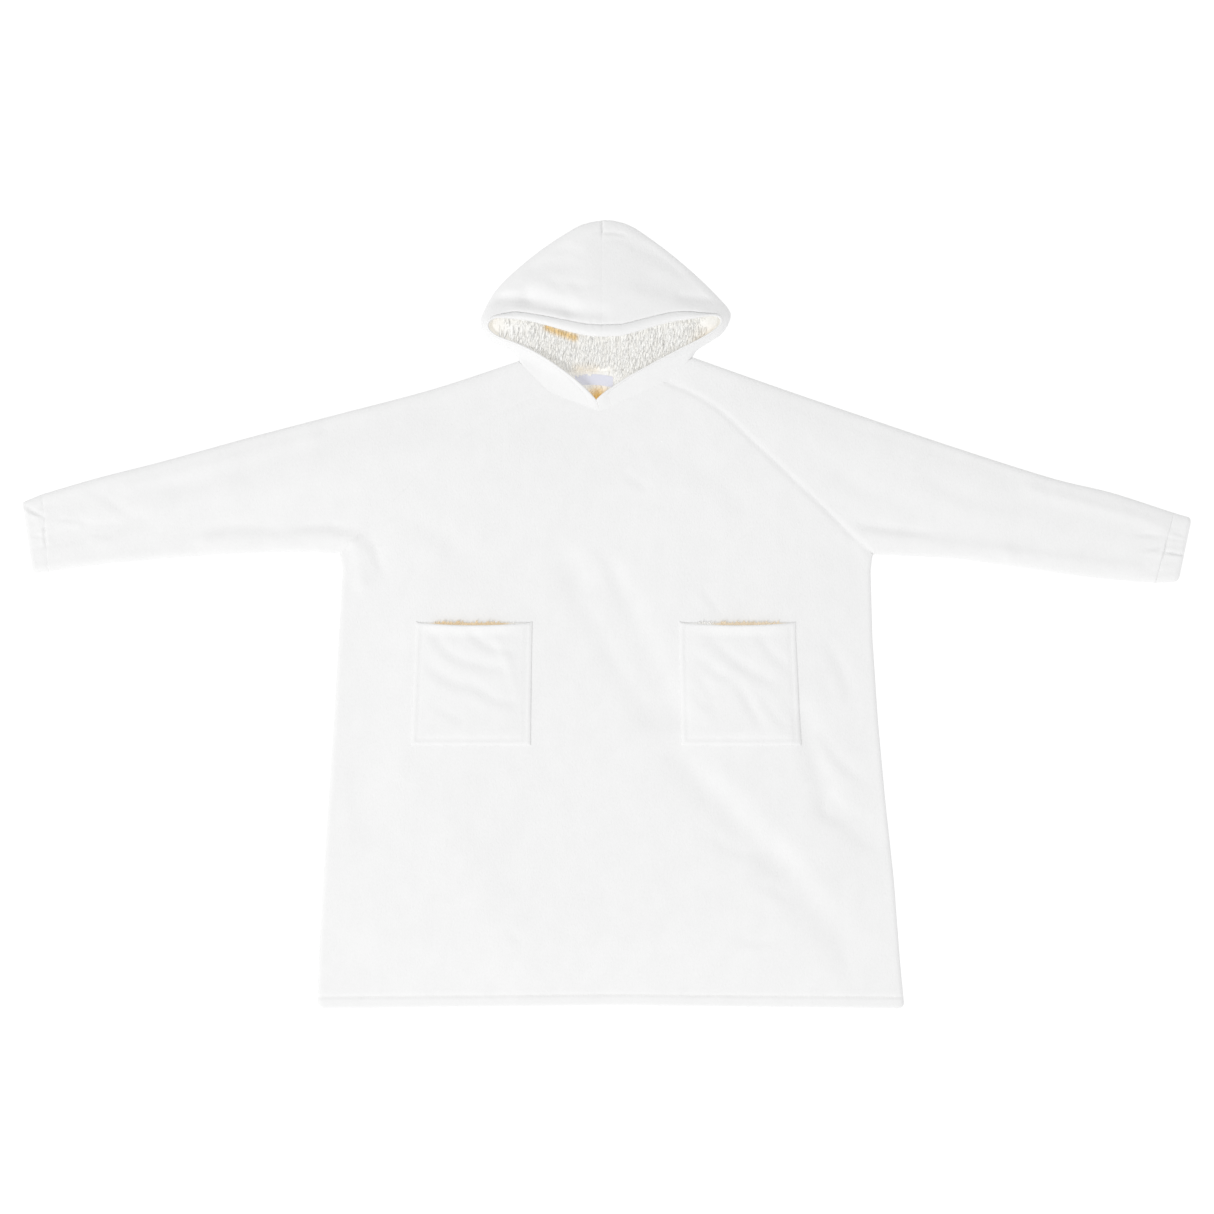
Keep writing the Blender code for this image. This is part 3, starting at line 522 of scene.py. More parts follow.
def smooth(table, positions):
    """Rows of a table at the given positions along a Catmull-Rom curve through them."""
    rows = np.asarray(table, dtype=float)
    padded = np.vstack([2 * rows[0] - rows[1], rows, 2 * rows[-1] - rows[-2]])
    positions = np.asarray(positions, dtype=float)
    first = np.minimum(positions.astype(int), len(rows) - 2)
    t = (positions - first)[:, None]
    before, start, end, after = (padded[first + step] for step in range(4))
    bend = 2 * before - 5 * start + 4 * end - after
    twist = 3 * start - before - 3 * end + after
    return 0.5 * (2 * start + (end - before) * t + bend * t ** 2 + twist * t ** 3)


def lerp(start, end, share):
    return np.asarray(start) + (np.asarray(end) - np.asarray(start)) * share


def arc_lengths(path):
    steps = np.linalg.norm(np.diff(path, axis=0), axis=1)
    return np.concatenate([[0.0], np.cumsum(steps)])


def at_distances(path, distances):
    """Points of a polyline at the given distances from its start."""
    path = np.asarray(path)
    arc = arc_lengths(path)
    return np.column_stack([np.interp(distances, arc, each) for each in path.T])


def moved_left(path, distance):
    """A polyline moved to the left of its direction by a distance, with mitred corners."""
    steps = np.diff(path, axis=0)
    steps /= np.linalg.norm(steps, axis=1)[:, None]
    normals = np.column_stack([-steps[:, 1], steps[:, 0]])
    before = np.vstack([normals[:1], normals])
    after = np.vstack([normals, normals[-1:]])
    return path + distance * (before + after) / (1 + (before * after).sum(axis=1))[:, None]


def segment_distance(points, start, end):
    """Distance of each point from a straight line between two points."""
    start, along = np.asarray(start), np.asarray(end) - np.asarray(start)
    share = np.clip(((points - start) @ along) / (along @ along), 0.0, 1.0)
    return np.linalg.norm(points - start - share[:, None] * along, axis=1)


def path_distance(points, path):
    """Distance of each point from a polyline."""
    path = np.asarray(path)
    return np.min([segment_distance(points, *ends) for ends in zip(path, path[1:])], axis=0)


def rounded(distance, reach=EDGE_REACH):
    """Fullness of a rounded edge: 0 on the outline, 1 from the reach inwards."""
    short = np.clip(1 - np.asarray(distance) / reach, 0.0, 1.0)
    return np.sqrt(1 - short ** 2)


def dip(distance, half_width):
    return np.exp(-(np.asarray(distance) / half_width) ** 2)


def ramp(value, length, start=0.0):
    """0 up to the start, then rising evenly to 1 over a length."""
    return np.clip((value - start) / length, 0.0, 1.0)


def corner_inset(distance, radius):
    """How far a rounded corner draws in at a distance from its end."""
    short = np.clip(radius - distance, 0.0, None)
    return radius - np.sqrt(radius ** 2 - short ** 2)


def soft_noise(points, size_x, size_y, seed):
    """Smooth noise at points in plan."""
    return np.array([noise.noise((x / size_x, y / size_y, seed)) for x, y in points])


def fold_relief(points, folds):
    """Height of all the folds of a table at points in plan."""
    relief = np.zeros(len(points))
    for start_x, start_y, end_x, end_y, half_width, height in folds:
        away = segment_distance(points, (start_x, start_y), (end_x, end_y))
        relief += height * dip(away, half_width)
    return relief


def crease_relief(points, creases):
    """Height of listed creases, each deepest in the middle, with a soft ridge on its right."""
    relief = np.zeros(len(points))
    for crease in creases:
        path = smooth(np.reshape(crease[:6], (3, 2)), np.linspace(0, 2, CREASE_SAMPLES))
        half_width, height = crease[6:]
        reach = CREASE_REACH * half_width
        low, high = path.min(axis=0) - reach, path.max(axis=0) + reach
        near = ((points > low) & (points < high)).all(axis=1)
        if not near.any():
            continue
        close = points[near]
        nearest = np.full(len(close), np.inf)
        along, signed = np.zeros(len(close)), np.zeros(len(close))
        for index, (start, end) in enumerate(zip(path, path[1:])):
            step = end - start
            share = np.clip(((close - start) @ step) / (step @ step), 0.0, 1.0)
            gap = close - start - share[:, None] * step
            away = np.linalg.norm(gap, axis=1)
            side = np.sign(step[0] * gap[:, 1] - step[1] * gap[:, 0])
            nearer = away < nearest
            nearest = np.where(nearer, away, nearest)
            along = np.where(nearer, (index + share) / (len(path) - 1), along)
            signed = np.where(nearer, away * side, signed)
        taper = np.sqrt(np.sin(math.pi * np.clip(along, 0.01, 0.99)))
        ridge = RIDGE_HEIGHT * dip(signed + RIDGE_PLACE * half_width, RIDGE_WIDTH * half_width)
        relief[near] += height * taper * (dip(nearest, half_width) - ridge)
    return relief


def mottle(points, seed):
    """Small soft unevenness of plush that lies on pile."""
    relief = np.zeros(len(points))
    for size, height, stretch in MOTTLES:
        relief += height * soft_noise(points, size, size * stretch, seed)
    return relief


def spaced(start, end, spacing):
    """Values from just after start up to end, evenly about a spacing apart."""
    count = max(1, round(abs(end - start) / spacing))
    return start + (end - start) * np.arange(1, count + 1) / count


def raglan_positions(spacing):
    """Positions along a raglan table, closer together at the neck."""
    even = spaced(0.0, RAGLAN_EVEN_END, spacing / RAGLAN_STEP)
    return np.concatenate([[0.0], even, RAGLAN_END - np.array(RAGLAN_FINE)])


def raglan(side, layer, positions):
    """The seam between body and sleeve, from the underarm to the neck."""
    table = RAGLAN[side]
    path = smooth(table, positions)
    if layer == "back":
        share = (np.asarray(positions) / (len(table) - 1))[:, None] ** 2
        neck = lerp(NECK_BACK, SHOULDER[side], BACK_NECK_SHARE)
        path = path + share * (neck - table[-1])
    return path


def garment_outline():
    """Outline of body and sleeves, closed along the front neck seam."""
    points = [(left, y) for y, left, _ in BODY_SIDES]
    points += [(row[2], row[3]) for row in SLEEVE_SECTIONS["left"][1:]]
    points += [CUFF_ENDS["left"][2:], CUFF_ENDS["left"][:2]]
    points += [(row[0], row[1]) for row in reversed(SLEEVE_SECTIONS["left"])]
    points += [RAGLAN["left"][-1], NECK_FRONT, RAGLAN["right"][-1]]
    points += [(row[0], row[1]) for row in SLEEVE_SECTIONS["right"]]
    points += [CUFF_ENDS["right"][:2], CUFF_ENDS["right"][2:]]
    points += [(row[2], row[3]) for row in reversed(SLEEVE_SECTIONS["right"][1:])]
    points += [(right, y) for y, _, right in reversed(BODY_SIDES)]
    return np.array(points)


def outline_distance(points):
    """Distance from the garment's outline, handing over softly from one side to another."""
    outline = garment_outline()
    total = np.zeros(len(points))
    for start, end in zip(outline, np.roll(outline, -1, axis=0)):
        total += np.maximum(segment_distance(points, start, end), 0.01) ** -SOFT_POWER
    return total ** (-1 / SOFT_POWER)


def lift(points):
    """How far the front layer rises above lying flat, at points in plan."""
    edge = outline_distance(points)
    swell = PUFF * (1 - dip(edge, PUFF_REACH))
    relief = fold_relief(points, FOLDS) + crease_relief(points, CREASES)
    return np.maximum(swell + relief * np.clip(edge / FOLD_FADE, 0.0, 1.0), 0.0)


def on_grid(function, plan, *more):
    """Values of a function of plan points, in the shape of their grid."""
    return function(plan.reshape(-1, 2), *more).reshape(plan.shape[:-1])


def grid_faces(rows, columns, ring):
    """Corner numbers of the quads between the points of a grid."""
    row, column = np.meshgrid(np.arange(rows - 1), np.arange(columns if ring else columns - 1),
                              indexing="ij")
    after = (column + 1) % columns
    corners = (row * columns + column, row * columns + after,
               (row + 1) * columns + after, (row + 1) * columns + column)
    return np.column_stack([corner.ravel() for corner in corners])


def rim_faces(loop, count):
    """Quads from a directed edge of the outer grid down to the same points of the inner one."""
    start, end = loop[:-1], loop[1:]
    return np.column_stack([end, start, start + count, end + count])


def make_object(name, points, faces, materials, indices=None, sharp=True):
    """A smooth mesh from points in millimetres, with sharp edges where its faces meet sharply."""
    data = bpy.data.meshes.new(name)
    data.from_pydata((points * MM).tolist(), [], faces)
    for material in materials:
        data.materials.append(material)
    if indices is not None:
        data.polygons.foreach_set("material_index", np.asarray(indices, dtype=np.int32))
    data.shade_smooth()
    if sharp:
        data.set_sharp_from_angle(angle=math.radians(SHARP_ANGLE))
    data.update()
    item = bpy.data.objects.new(name, data)
    bpy.context.scene.collection.objects.link(item)
    return item


def wall(name, outer, inner, outside, inside, ring=False):
    """A closed wall between two grids of points, one finish outside and one inside."""
    rows, columns = outer.shape[:2]
    count = rows * columns
    points = np.vstack([outer.reshape(-1, 3), inner.reshape(-1, 3)])
    upper = grid_faces(rows, columns, ring)
    lower = upper[:, ::-1] + count
    across = np.arange(columns)
    if ring:
        across = np.append(across, 0)
    rims = [rim_faces(across, count), rim_faces(across[::-1] + (rows - 1) * columns, count)]
    if not ring:
        down = np.arange(rows) * columns
        rims += [rim_faces(down[::-1], count), rim_faces(down + columns - 1, count)]
    faces = np.vstack([upper, lower, *rims])
    first, second, third = (points[faces[:, corner]] for corner in (0, 1, 2))
    fourth = points[faces[:, 3]]
    volume = (first * (np.cross(second, third) + np.cross(third, fourth))).sum()
    if volume < 0:
        faces = faces[:, ::-1]
    indices = np.zeros(len(faces), dtype=int)
    indices[len(upper):len(upper) + len(lower)] = 1
    return make_object(name, points, faces.tolist(), [outside, inside], indices)


def body_sides(y):
    """X of the body's left and right side at heights up the front."""
    heights, *sides = np.transpose(BODY_SIDES)
    return [np.interp(y, heights, side) for side in sides]


def panel_rows(layer, spacing):
    """Left, middle and right point of each row of a panel, from the hem to the neck."""
    heights = HEM_Y + np.array(HEM_FINE)
    heights = np.concatenate([heights, spaced(heights[-1], UNDERARM_Y - spacing, spacing)])
    above = heights - HEM_Y
    left, right = body_sides(heights)
    inset = corner_inset(above, HEM_CORNER)
    left, right = left + inset, right - inset
    arch = HEM_ARCH * np.clip(1 - above / HEM_ARCH_REACH, 0.0, None)
    body = np.stack([np.column_stack([left, heights]),
                     np.column_stack([(left + right) / 2, heights + arch]),
                     np.column_stack([right, heights])], axis=1)
    positions = raglan_positions(spacing)
    left, right = (raglan(side, layer, positions) for side in SIDES)
    neck = np.array(NECK_FRONT if layer == "front" else NECK_BACK)
    share = (positions / positions[-1])[:, None]
    middle = (left + right) / 2 + (neck - (left[-1] + right[-1]) / 2) * share ** 2
    yoke = np.stack([left, middle, right], axis=1)
    return np.vstack([body, yoke]), len(body)


def panel_plan(sections, spacing):
    """Plan points of a panel, and each point's distance from the side along its row."""
    widest = max(np.linalg.norm(edge - middle) for left, middle, right in sections
                 for edge in (left, right))
    count = round((widest - EDGE_REACH) / spacing)
    plan, inset = [], []
    for left, middle, right in sections:
        row, distance = [], []
        for edge in (left, right):
            length = np.linalg.norm(edge - middle)
            reach = min(EDGE_REACH, length / 2)
            steps = np.concatenate([np.array(EDGE_FINE) * reach / EDGE_REACH,
                                    reach + (length - reach) * np.arange(1, count + 1) / count])
            row.append(lerp(edge, middle, (steps / length)[:, None]))
            distance.append(steps)
        plan.append(np.vstack([row[0], row[1][-2::-1]]))
        inset.append(np.concatenate([distance[0], distance[1][-2::-1]]))
    return np.array(plan), np.array(inset)


def neck_line(layer):
    """The panel's neck edge from the left raglan seam to the right one."""
    ends = [raglan(side, layer, (RAGLAN_END,))[0] for side in SIDES]
    return np.array([ends[0], NECK_FRONT if layer == "front" else NECK_BACK, ends[1]])


def seam_groove(plan, layer):
    """How deep the raglan and neck seams draw a panel in."""
    positions = np.linspace(0.0, RAGLAN_END, RAGLAN_SAMPLES)
    depth = NECK_GROOVE * dip(on_grid(path_distance, plan, neck_line(layer)), GROOVE_WIDTH)
    for side, groove in RAGLAN_GROOVE.items():
        away = on_grid(path_distance, plan, raglan(side, layer, positions))
        depth = np.maximum(depth, groove * dip(away, GROOVE_WIDTH))
    return depth


def hem_fullness(plan, above):
    """Rounded hem, and its stitch line with small puckers."""
    puckers = on_grid(lambda points: np.array([
        noise.noise((x / HEM_PUCKER_SIZE, HEM_PUCKER_SEED, 0.0)) for x, _ in points]), plan)
    depth = HEM_STITCH_DEPTH + HEM_PUCKER * puckers
    stitched = depth * dip(above - HEM_STITCH, HEM_STITCH_WIDTH)
    return rounded(above, HEM_REACH) * (1 - stitched)


def front_panel(plush, pile):
    sections, body_rows = panel_rows("front", SPACING)
    plan, inset = panel_plan(sections, SPACING)
    above = (sections[:, 0, 1] - HEM_Y)[:, None]
    fullness = hem_fullness(plan, above)
    fullness[:body_rows] *= rounded(inset[:body_rows], SIDE_REACH)
    groove = np.zeros(fullness.shape)
    groove[body_rows:] = seam_groove(plan[body_rows:], "front")
    rise = on_grid(lift, plan)
    uneven = on_grid(mottle, plan, SEED) * rounded(np.minimum(inset, above), 3 * EDGE_REACH)
    top = LAYER + EDGE_THICKNESS + (CLOTH - EDGE_THICKNESS) * fullness - groove + rise + uneven
    outer = np.dstack([plan, top])
    inner = np.dstack([plan, LAYER + rise])
    return wall("front_cloth", outer, inner, plush, pile), outer


def back_panel(plush, pile):
    sections, body_rows = panel_rows("back", BACK_SPACING)
    plan, inset = panel_plan(sections, BACK_SPACING)
    above = (sections[:, 0, 1] - HEM_Y)[:, None]
    fullness = rounded(above) * np.ones(plan.shape[:2])
    fullness[:body_rows] *= rounded(inset[:body_rows])
    groove = np.zeros(fullness.shape)
    groove[body_rows:] = seam_groove(plan[body_rows:], "back")
    creases = on_grid(crease_relief, plan, BACK_CREASES)
    under = (CLOTH - EDGE_THICKNESS) * (1 - fullness) + groove / 2 + np.maximum(-creases, 0.0)
    under += HEM_STITCH_UNDER * dip(above - HEM_STITCH, HEM_STITCH_WIDTH)
    outer = np.dstack([plan, np.full(plan.shape[:2], CLOTH)])
    inner = np.dstack([plan, under])
    return wall("back_cloth", outer, inner, pile, plush), outer


def section_distances(length, count):
    """Distances across a section: fine at both edges and even between."""
    edge = np.array(EDGE_FINE)
    middle = EDGE_REACH + (length - 2 * EDGE_REACH) * np.arange(1, count) / count
    return np.concatenate([edge, middle, length - edge[::-1]])


def straight_section(row, count):
    """Plan points across a sleeve section from its underarm to its fold."""
    ends = np.array([row[2:], row[:2]])
    return at_distances(ends, section_distances(np.linalg.norm(ends[1] - ends[0]), count))


def sleeve_start(side, layer):
    """The slanted open end of a sleeve: up the raglan seam, then along the neck."""
    seam = raglan(side, layer, np.linspace(0.0, RAGLAN_END, START_SAMPLES))
    neck = lerp(seam[-1], SHOULDER[side], np.linspace(0.0, 1.0, NECK_POINTS)[1:, None])
    return moved_left(np.vstack([seam, neck]), -SIDES[side] * SEAM_GAP)


def start_points(path, count):
    """Points along a sleeve's open end, one of them on the corner of raglan and neck seam."""
    arc = arc_lengths(path)
    distances = section_distances(arc[-1], count)
    corner = arc[-NECK_POINTS]
    distances[np.abs(distances - corner).argmin()] = corner
    return at_distances(path, distances)


def tube_rings(front, back, full, over, under_relief):
    """Outer and inner rings of a flattened tube from its two layers in plan.

    over and under_relief are added to the outside of the upper and the lower layer.
    """
    rise = on_grid(lift, front)
    shapes = []
    for plan in (front, back):
        arc = np.array([arc_lengths(row) for row in plan])
        inset = np.minimum(arc, arc[:, -1:] - arc)
        moved = np.interp(inset, *INNER_EDGE, right=0.0) + np.where(inset > EDGE_REACH, inset, 0.0)
        moved = np.where(arc < arc[:, -1:] / 2, moved, arc[:, -1:] - moved)
        inner_plan = np.array([at_distances(row, each) for row, each in zip(plan, moved)])
        shapes.append((plan, inner_plan, rounded(inset, TUBE_REACH)))
    slack = MIDDLE - CLOTH
    (front, inner_front, edge), (back, inner_back, back_edge) = shapes
    top = np.dstack([front, MIDDLE + MIDDLE * edge * full + (rise + over) * edge])
    under = np.dstack([back, MIDDLE * (1 - back_edge) + under_relief * back_edge])
    inner_top = np.dstack([inner_front, MIDDLE + (slack + rise) * edge])
    inner_under = np.dstack([inner_back, MIDDLE - slack * back_edge])
    for upper, lower in ((top, under), (inner_top, inner_under)):
        for end in (0, -1):
            upper[:, end] = (upper[:, end] + lower[:, end]) / 2
    outer = np.concatenate([top, under[:, -2:0:-1]], axis=1)
    inner = np.concatenate([inner_top, inner_under[:, -2:0:-1]], axis=1)
    return outer, inner


def gathers(side, count, closeness):
    """Puckers that the cuff seam draws in, for each section and each point across it."""
    share = section_distances(1000.0, count) / 1000.0
    depth = sum(deep * dip(share - at, half_width) for at, half_width, deep in CUFF_PUCKERS[side])
    return -depth[None, :] * closeness[:, None]


def sleeve(side, plush, pile):
    """One sleeve as a flattened tube from the raglan seam to the cuff seam."""
    table = np.array(SLEEVE_SECTIONS[side])
    length = arc_lengths(table[:, :2])[-1]
    ends = np.array(SEAM_FINE)
    along = np.concatenate([ends, spaced(ends[-1], length - ends[-1], SLEEVE_SPACING),
                            length - ends[-2::-1]])
    count = SLEEVE_COLUMNS
    base = straight_section(table[0], count)
    paths = {layer: sleeve_start(side, layer) for layer in ("front", "back")}
    starts = {layer: start_points(path, count) for layer, path in paths.items()}
    stations = along / length
    sections = smooth(table, stations * (len(table) - 1))
    straight = np.array([straight_section(row, count) for row in sections])
    slant = np.clip(1 - stations / RAGLAN_BLEND, 0.0, None)[:, None, None] ** 2
    front, back = (straight + (starts[layer] - base) * slant for layer in ("front", "back"))
    to_cuff = length - along
    sewn = raglan(side, "front", np.linspace(0.0, RAGLAN_END, RAGLAN_SAMPLES))
    seam = RAGLAN_GROOVE[side] * dip(on_grid(path_distance, front, sewn), GROOVE_WIDTH)
    neck = on_grid(segment_distance, front, sewn[-1], SHOULDER[side])
    seam = np.maximum(seam, NECK_GROOVE * dip(neck, GROOVE_WIDTH))
    seam = np.maximum(seam, CUFF_GROOVE * (1 - rounded(to_cuff, GROOVE_REACH))[:, None])
    full = 1 - seam / MIDDLE
    near_cuff = np.clip(1 - to_cuff / GATHER_REACH, 0.0, 1.0)
    gathered = gathers(side, count, near_cuff ** GATHER_POWER)
    calm = np.minimum(on_grid(path_distance, front, paths["front"]), to_cuff[:, None])
    over = on_grid(mottle, front, SEED + 1) * rounded(calm, EDGE_REACH) + gathered
    creases = np.maximum(-on_grid(crease_relief, back, BACK_CREASES), 0.0)
    back_seam = np.minimum(on_grid(path_distance, back, paths["back"]), to_cuff[:, None])
    under = creases + 0.5 * RAGLAN_GROOVE["right"] * dip(back_seam, GROOVE_WIDTH)
    outer, inner = tube_rings(front, back, full, over, under)
    return wall("sleeve_cloth_" + side, outer, inner, plush, pile, ring=True)


def cuff_rows(seam, end, stations, corner):
    """Sections of a cuff from its seam to its end, where the corners are rounded."""
    rows = seam + (end - seam) * stations[:, None]
    to_end = (1 - stations) * np.linalg.norm((end - seam)[:2])
    down = rows[:, 2:] - rows[:, :2]
    down *= (corner_inset(to_end, corner) / np.linalg.norm(down, axis=1))[:, None]
    return np.hstack([rows[:, :2] + down, rows[:, 2:] - down])


def cuff(side, plush, pile):
    """A short flattened tube with puckers, sewn to the sleeve's end."""
    seam = np.array(SLEEVE_SECTIONS[side][-1])
    end = np.array(CUFF_ENDS[side])
    outward = (end - seam) / np.linalg.norm((end - seam)[:2])
    seam = seam + outward * 2 * SEAM_GAP
    stations = np.array(CUFF_ROWS)
    plan = np.array([straight_section(row, SLEEVE_COLUMNS)
                     for row in cuff_rows(seam, end, stations, CUFF_CORNER[side])])
    full = np.interp(stations, CUFF_STATIONS, CUFF_FULLNESS)[:, None]
    over = CUFF_GATHER * gathers(side, SLEEVE_COLUMNS, 1 - CUFF_GATHER_LOST * stations)
    over += on_grid(mottle, plan, SEED + 2) + on_grid(crease_relief, plan, CUFF_CREASES[side])
    under = np.zeros(plan.shape[:2])
    outer, inner = tube_rings(plan, plan, full, over, under)
    return wall("cuff_cloth_" + side, outer, inner, plush, pile, ring=True)


def hood_rows(table):
    """Fine sections of one half of the hood; the V where the halves meet stays straight."""
    rows = np.array(table)
    last = len(rows) - 1
    stations = np.concatenate([np.linspace(0.0, 1.0, 12)[:-1],
                               np.arange(1.0, last + HOOD_SECTION_STEP / 2, HOOD_SECTION_STEP)])
    straight = lerp(rows[0], rows[1], np.clip(stations, 0.0, 1.0)[:, None])
    return stations, np.where(stations[:, None] < 1.0, straight, smooth(table, stations))


def bent_line(start, corner, end, corner_share, shares):
    """Points at shares of the way from start to end, going through a corner."""
    first = np.minimum(shares / corner_share, 1.0)[:, None]
    second = (np.maximum(shares - corner_share, 0.0) / (1 - corner_share))[:, None]
    return lerp(start, corner, first) + (end - corner) * second


def hood_flap(row, station, along_rim, corner_share, corner_move):
    """One row of the flap, from the rim to the side fold: outer points, inner points."""
    rim, rim_z, edge = row[:2], row[2], row[3:5]
    length = np.linalg.norm(edge - rim)
    scale = min(1.0, length / NARROW)
    steps = np.array(RIM_COLUMNS) * scale
    last = length - EDGE_REACH * scale
    turn = np.array(EDGE_FINE[::-1])
    kink = corner_share * length
    distance = np.concatenate([steps, np.linspace(steps[-1], kink, FLAP_COLUMNS[0] + 1)[1:],
                               np.linspace(kink, last, FLAP_COLUMNS[1] + 1)[1:-1],
                               length - turn * scale])
    inner_distance = distance.copy()
    inner_distance[-len(turn):] = length - np.interp(turn, *INNER_EDGE) * scale
    bend = max(0.0, 1 - station / KINK_REACH) ** 2
    corner = lerp(rim, edge, corner_share) + corner_move * bend
    plan, inner_plan = (bent_line(rim, corner, edge, corner_share, each / length)
                        for each in (distance, inner_distance))
    profile = np.array(RIM_PROFILE)
    over_mouth, along_v, below = (np.interp(distance, profile[:, 0] * scale, profile[:, column])
                                  for column in (1, 2, 3))
    sewn = ramp(station, V_STATIONS[1] - V_STATIONS[0], V_STATIONS[0])
    above = lerp(along_v, over_mouth, sewn)
    above = lerp(HOOD_CLOTH / 2, above, np.clip(station / FLAT_STATIONS, FLAT_LEAST, 1.0))
    pucker = sum(share * noise.noise((along_rim / size, seed, 0.0)) for size, seed, share in RIM_PUCKERS)
    from_seam = dip(distance - RIM_SEAM * scale, RIM_PUCKER_WIDTH * scale)
    above += RIM_PUCKER * sewn * pucker * from_seam
    fullness = rounded((length - distance) / scale, HOOD_REACH)
    height = FLAT_TOP - HOOD_CLOTH / 2
    swell = np.maximum(np.cos(0.5 * math.pi * distance / length), 0.0) ** HOOD_SLOPE
    height = height + (rim_z - FLAT_TOP) * swell
    room = ramp(np.minimum(distance - RIM_SEAM * scale, length - distance), HOOD_FOLD_FADE)
    folds = fold_relief(plan, HOOD_FOLDS) + crease_relief(plan, HOOD_CREASES)
    height += folds * room
    uneven = mottle(plan, SEED + 3)
    peak = np.clip((plan[:, 1] - HOOD_PEAK_Y) / PEAK_GROOVE_LENGTH + 1.5, 0.0, 1.0)
    centre = lerp(CENTRE_GROOVE, PEAK_GROOVE, peak)
    centre = centre * dip(plan[:, 0] - CENTRE_SEAM_X, CENTRE_GROOVE_WIDTH)
    if station > len(HOOD["left"]) / 2:
        above -= centre
    if station < 1:
        above -= NECK_GROOVE * dip(station * NECK_ROW, GROOVE_WIDTH)
    top = np.column_stack([plan, MIDDLE + (height + above + uneven - MIDDLE) * fullness])
    under = np.column_stack([inner_plan, MIDDLE + (height + below - MIDDLE) * fullness])
    return top, under


def hood_back_layer(row, side):
    """One row of the layer on the table, from the side fold to the back seam."""
    edge = row[3:5]
    back = np.array((CENTRE_SEAM_X + SIDES[side] * SEAM_GAP / 2, row[5]))
    scale = min(1.0, np.linalg.norm(edge - row[:2]) / NARROW)
    reach = np.linalg.norm(back - edge)
    turn = np.array(EDGE_FINE[1:])
    rest = np.linspace(turn[-1] * scale, reach, BACK_LAYER_COLUMNS + 1)[1:]
    distance = np.concatenate([turn * scale, rest])
    inner_distance = np.concatenate([np.interp(turn, *INNER_EDGE) * scale, rest])
    fullness = rounded(distance / scale)
    plan, inner_plan = (lerp(edge, back, (each / reach)[:, None])
                        for each in (distance, inner_distance))
    centre = CENTRE_GROOVE_UNDER * CENTRE_GROOVE * dip(reach - distance, CENTRE_GROOVE_WIDTH)
    bottom = np.column_stack([plan, MIDDLE * (1 - fullness) + centre])
    inside = np.column_stack([inner_plan, MIDDLE - (MIDDLE - HOOD_CLOTH) * fullness])
    fold = lerp(edge, back, INNER_EDGE[1][0] * scale / reach)
    return bottom, inside, fold


def hood_half(side, plush, pile):
    """Half the hood: the front flap, round the side fold, and the layer on the table."""
    stations, rows = hood_rows(HOOD[side])
    corner = np.array(RAGLAN[side][-1])
    rim, shoulder = rows[0, :2], rows[0, 3:5]
    first = np.linalg.norm(corner - rim)
    corner_share = first / (first + np.linalg.norm(shoulder - corner))
    corner_move = corner - lerp(rim, shoulder, corner_share)
    rows[-1, [0, 3]] = CENTRE_SEAM_X + SIDES[side] * SEAM_GAP / 2
    along_rim = SIDES[side] * (arc_lengths(rows[:, :3])[-1] - arc_lengths(rows[:, :3]))
    outer_rows, inner_rows = [], []
    for station, row, along in zip(stations, rows, along_rim):
        top, under = hood_flap(row, station, along, corner_share, corner_move)
        bottom, inside, fold = hood_back_layer(row, side)
        under[-1, :2] = (under[-1, :2] + fold) / 2
        outer_rows.append(np.vstack([top, bottom]))
        inner_rows.append(np.vstack([under, inside]))
    outer, inner = np.array(outer_rows), np.array(inner_rows)
    fade = np.clip(1 - stations, 0.0, 1.0)[:, None]
    fold_columns = slice(len(top) - len(EDGE_FINE), len(top) + len(EDGE_FINE) - 1)
    for grid in (outer, inner):
        grid[:, :, 1] += SEAM_GAP * fade
        grid[:, fold_columns, 1] += FOLD_GAP * fade
    item = wall("hood_cloth_" + side, outer, inner, plush, pile)
    return item, outer, inner


def lining_plan(spacing):
    """Plan of the lining in the hood's mouth, rows from the neck up."""
    left, right = (np.array([(row[4], row[3]) for row in HOOD[side]]) for side in SIDES)
    across = np.linspace(-1.0, 1.0, round(2 * LINING_HALF_WIDTH / spacing))
    drop = (LINING_BOTTOM - NECK_BACK[1] - LINING_NECK_GAP) * LINING_NECK_SHARE
    low = LINING_BOTTOM - drop * (1 - np.abs(across))
    plan = []
    for share in np.linspace(0.0, 1.0, round((LINING_TOP - LINING_BOTTOM) / spacing)):
        y = lerp(LINING_BOTTOM, LINING_TOP, share)
        start = np.interp(y, left[:, 0], left[:, 1]) + LINING_INSET
        end = np.interp(y, right[:, 0], right[:, 1]) - LINING_INSET
        plan.append(np.column_stack([lerp(start, end, (across + 1) / 2),
                                     lerp(low, np.full(len(across), LINING_TOP), share)]))
    return np.array(plan)


def hood_lining(pile):
    """The pile that shows in the hood's mouth, lying on the hood's back layer."""
    plan = lining_plan(LINING_SPACING)
    rows, columns = plan.shape[:2]
    row, column = np.indices((rows, columns))
    inset = LINING_SPACING * np.minimum.reduce([row, column, rows - 1 - row, columns - 1 - column])
    base = HOOD_CLOTH + LAYER_GAP
    swell = on_grid(fold_relief, plan, LINING_SWELLS)
    lumps = sum(share * on_grid(soft_noise, plan, *more) for *more, share in LINING_LUMPS)
    top = base + LINING_CLOTH * (1 + rounded(inset, LINING_EDGE)) / 2
    full = rounded(inset, LINING_FADE)
    top += (swell + LINING_LUMP * lumps) * full
    outer = np.dstack([plan, np.maximum(top, base + LINING_CLOTH / 2)])
    inner = np.dstack([plan, base + np.maximum(swell - LINING_WALL, 0.0) * full])
    return wall("hood_pile", outer, inner, pile, pile), outer


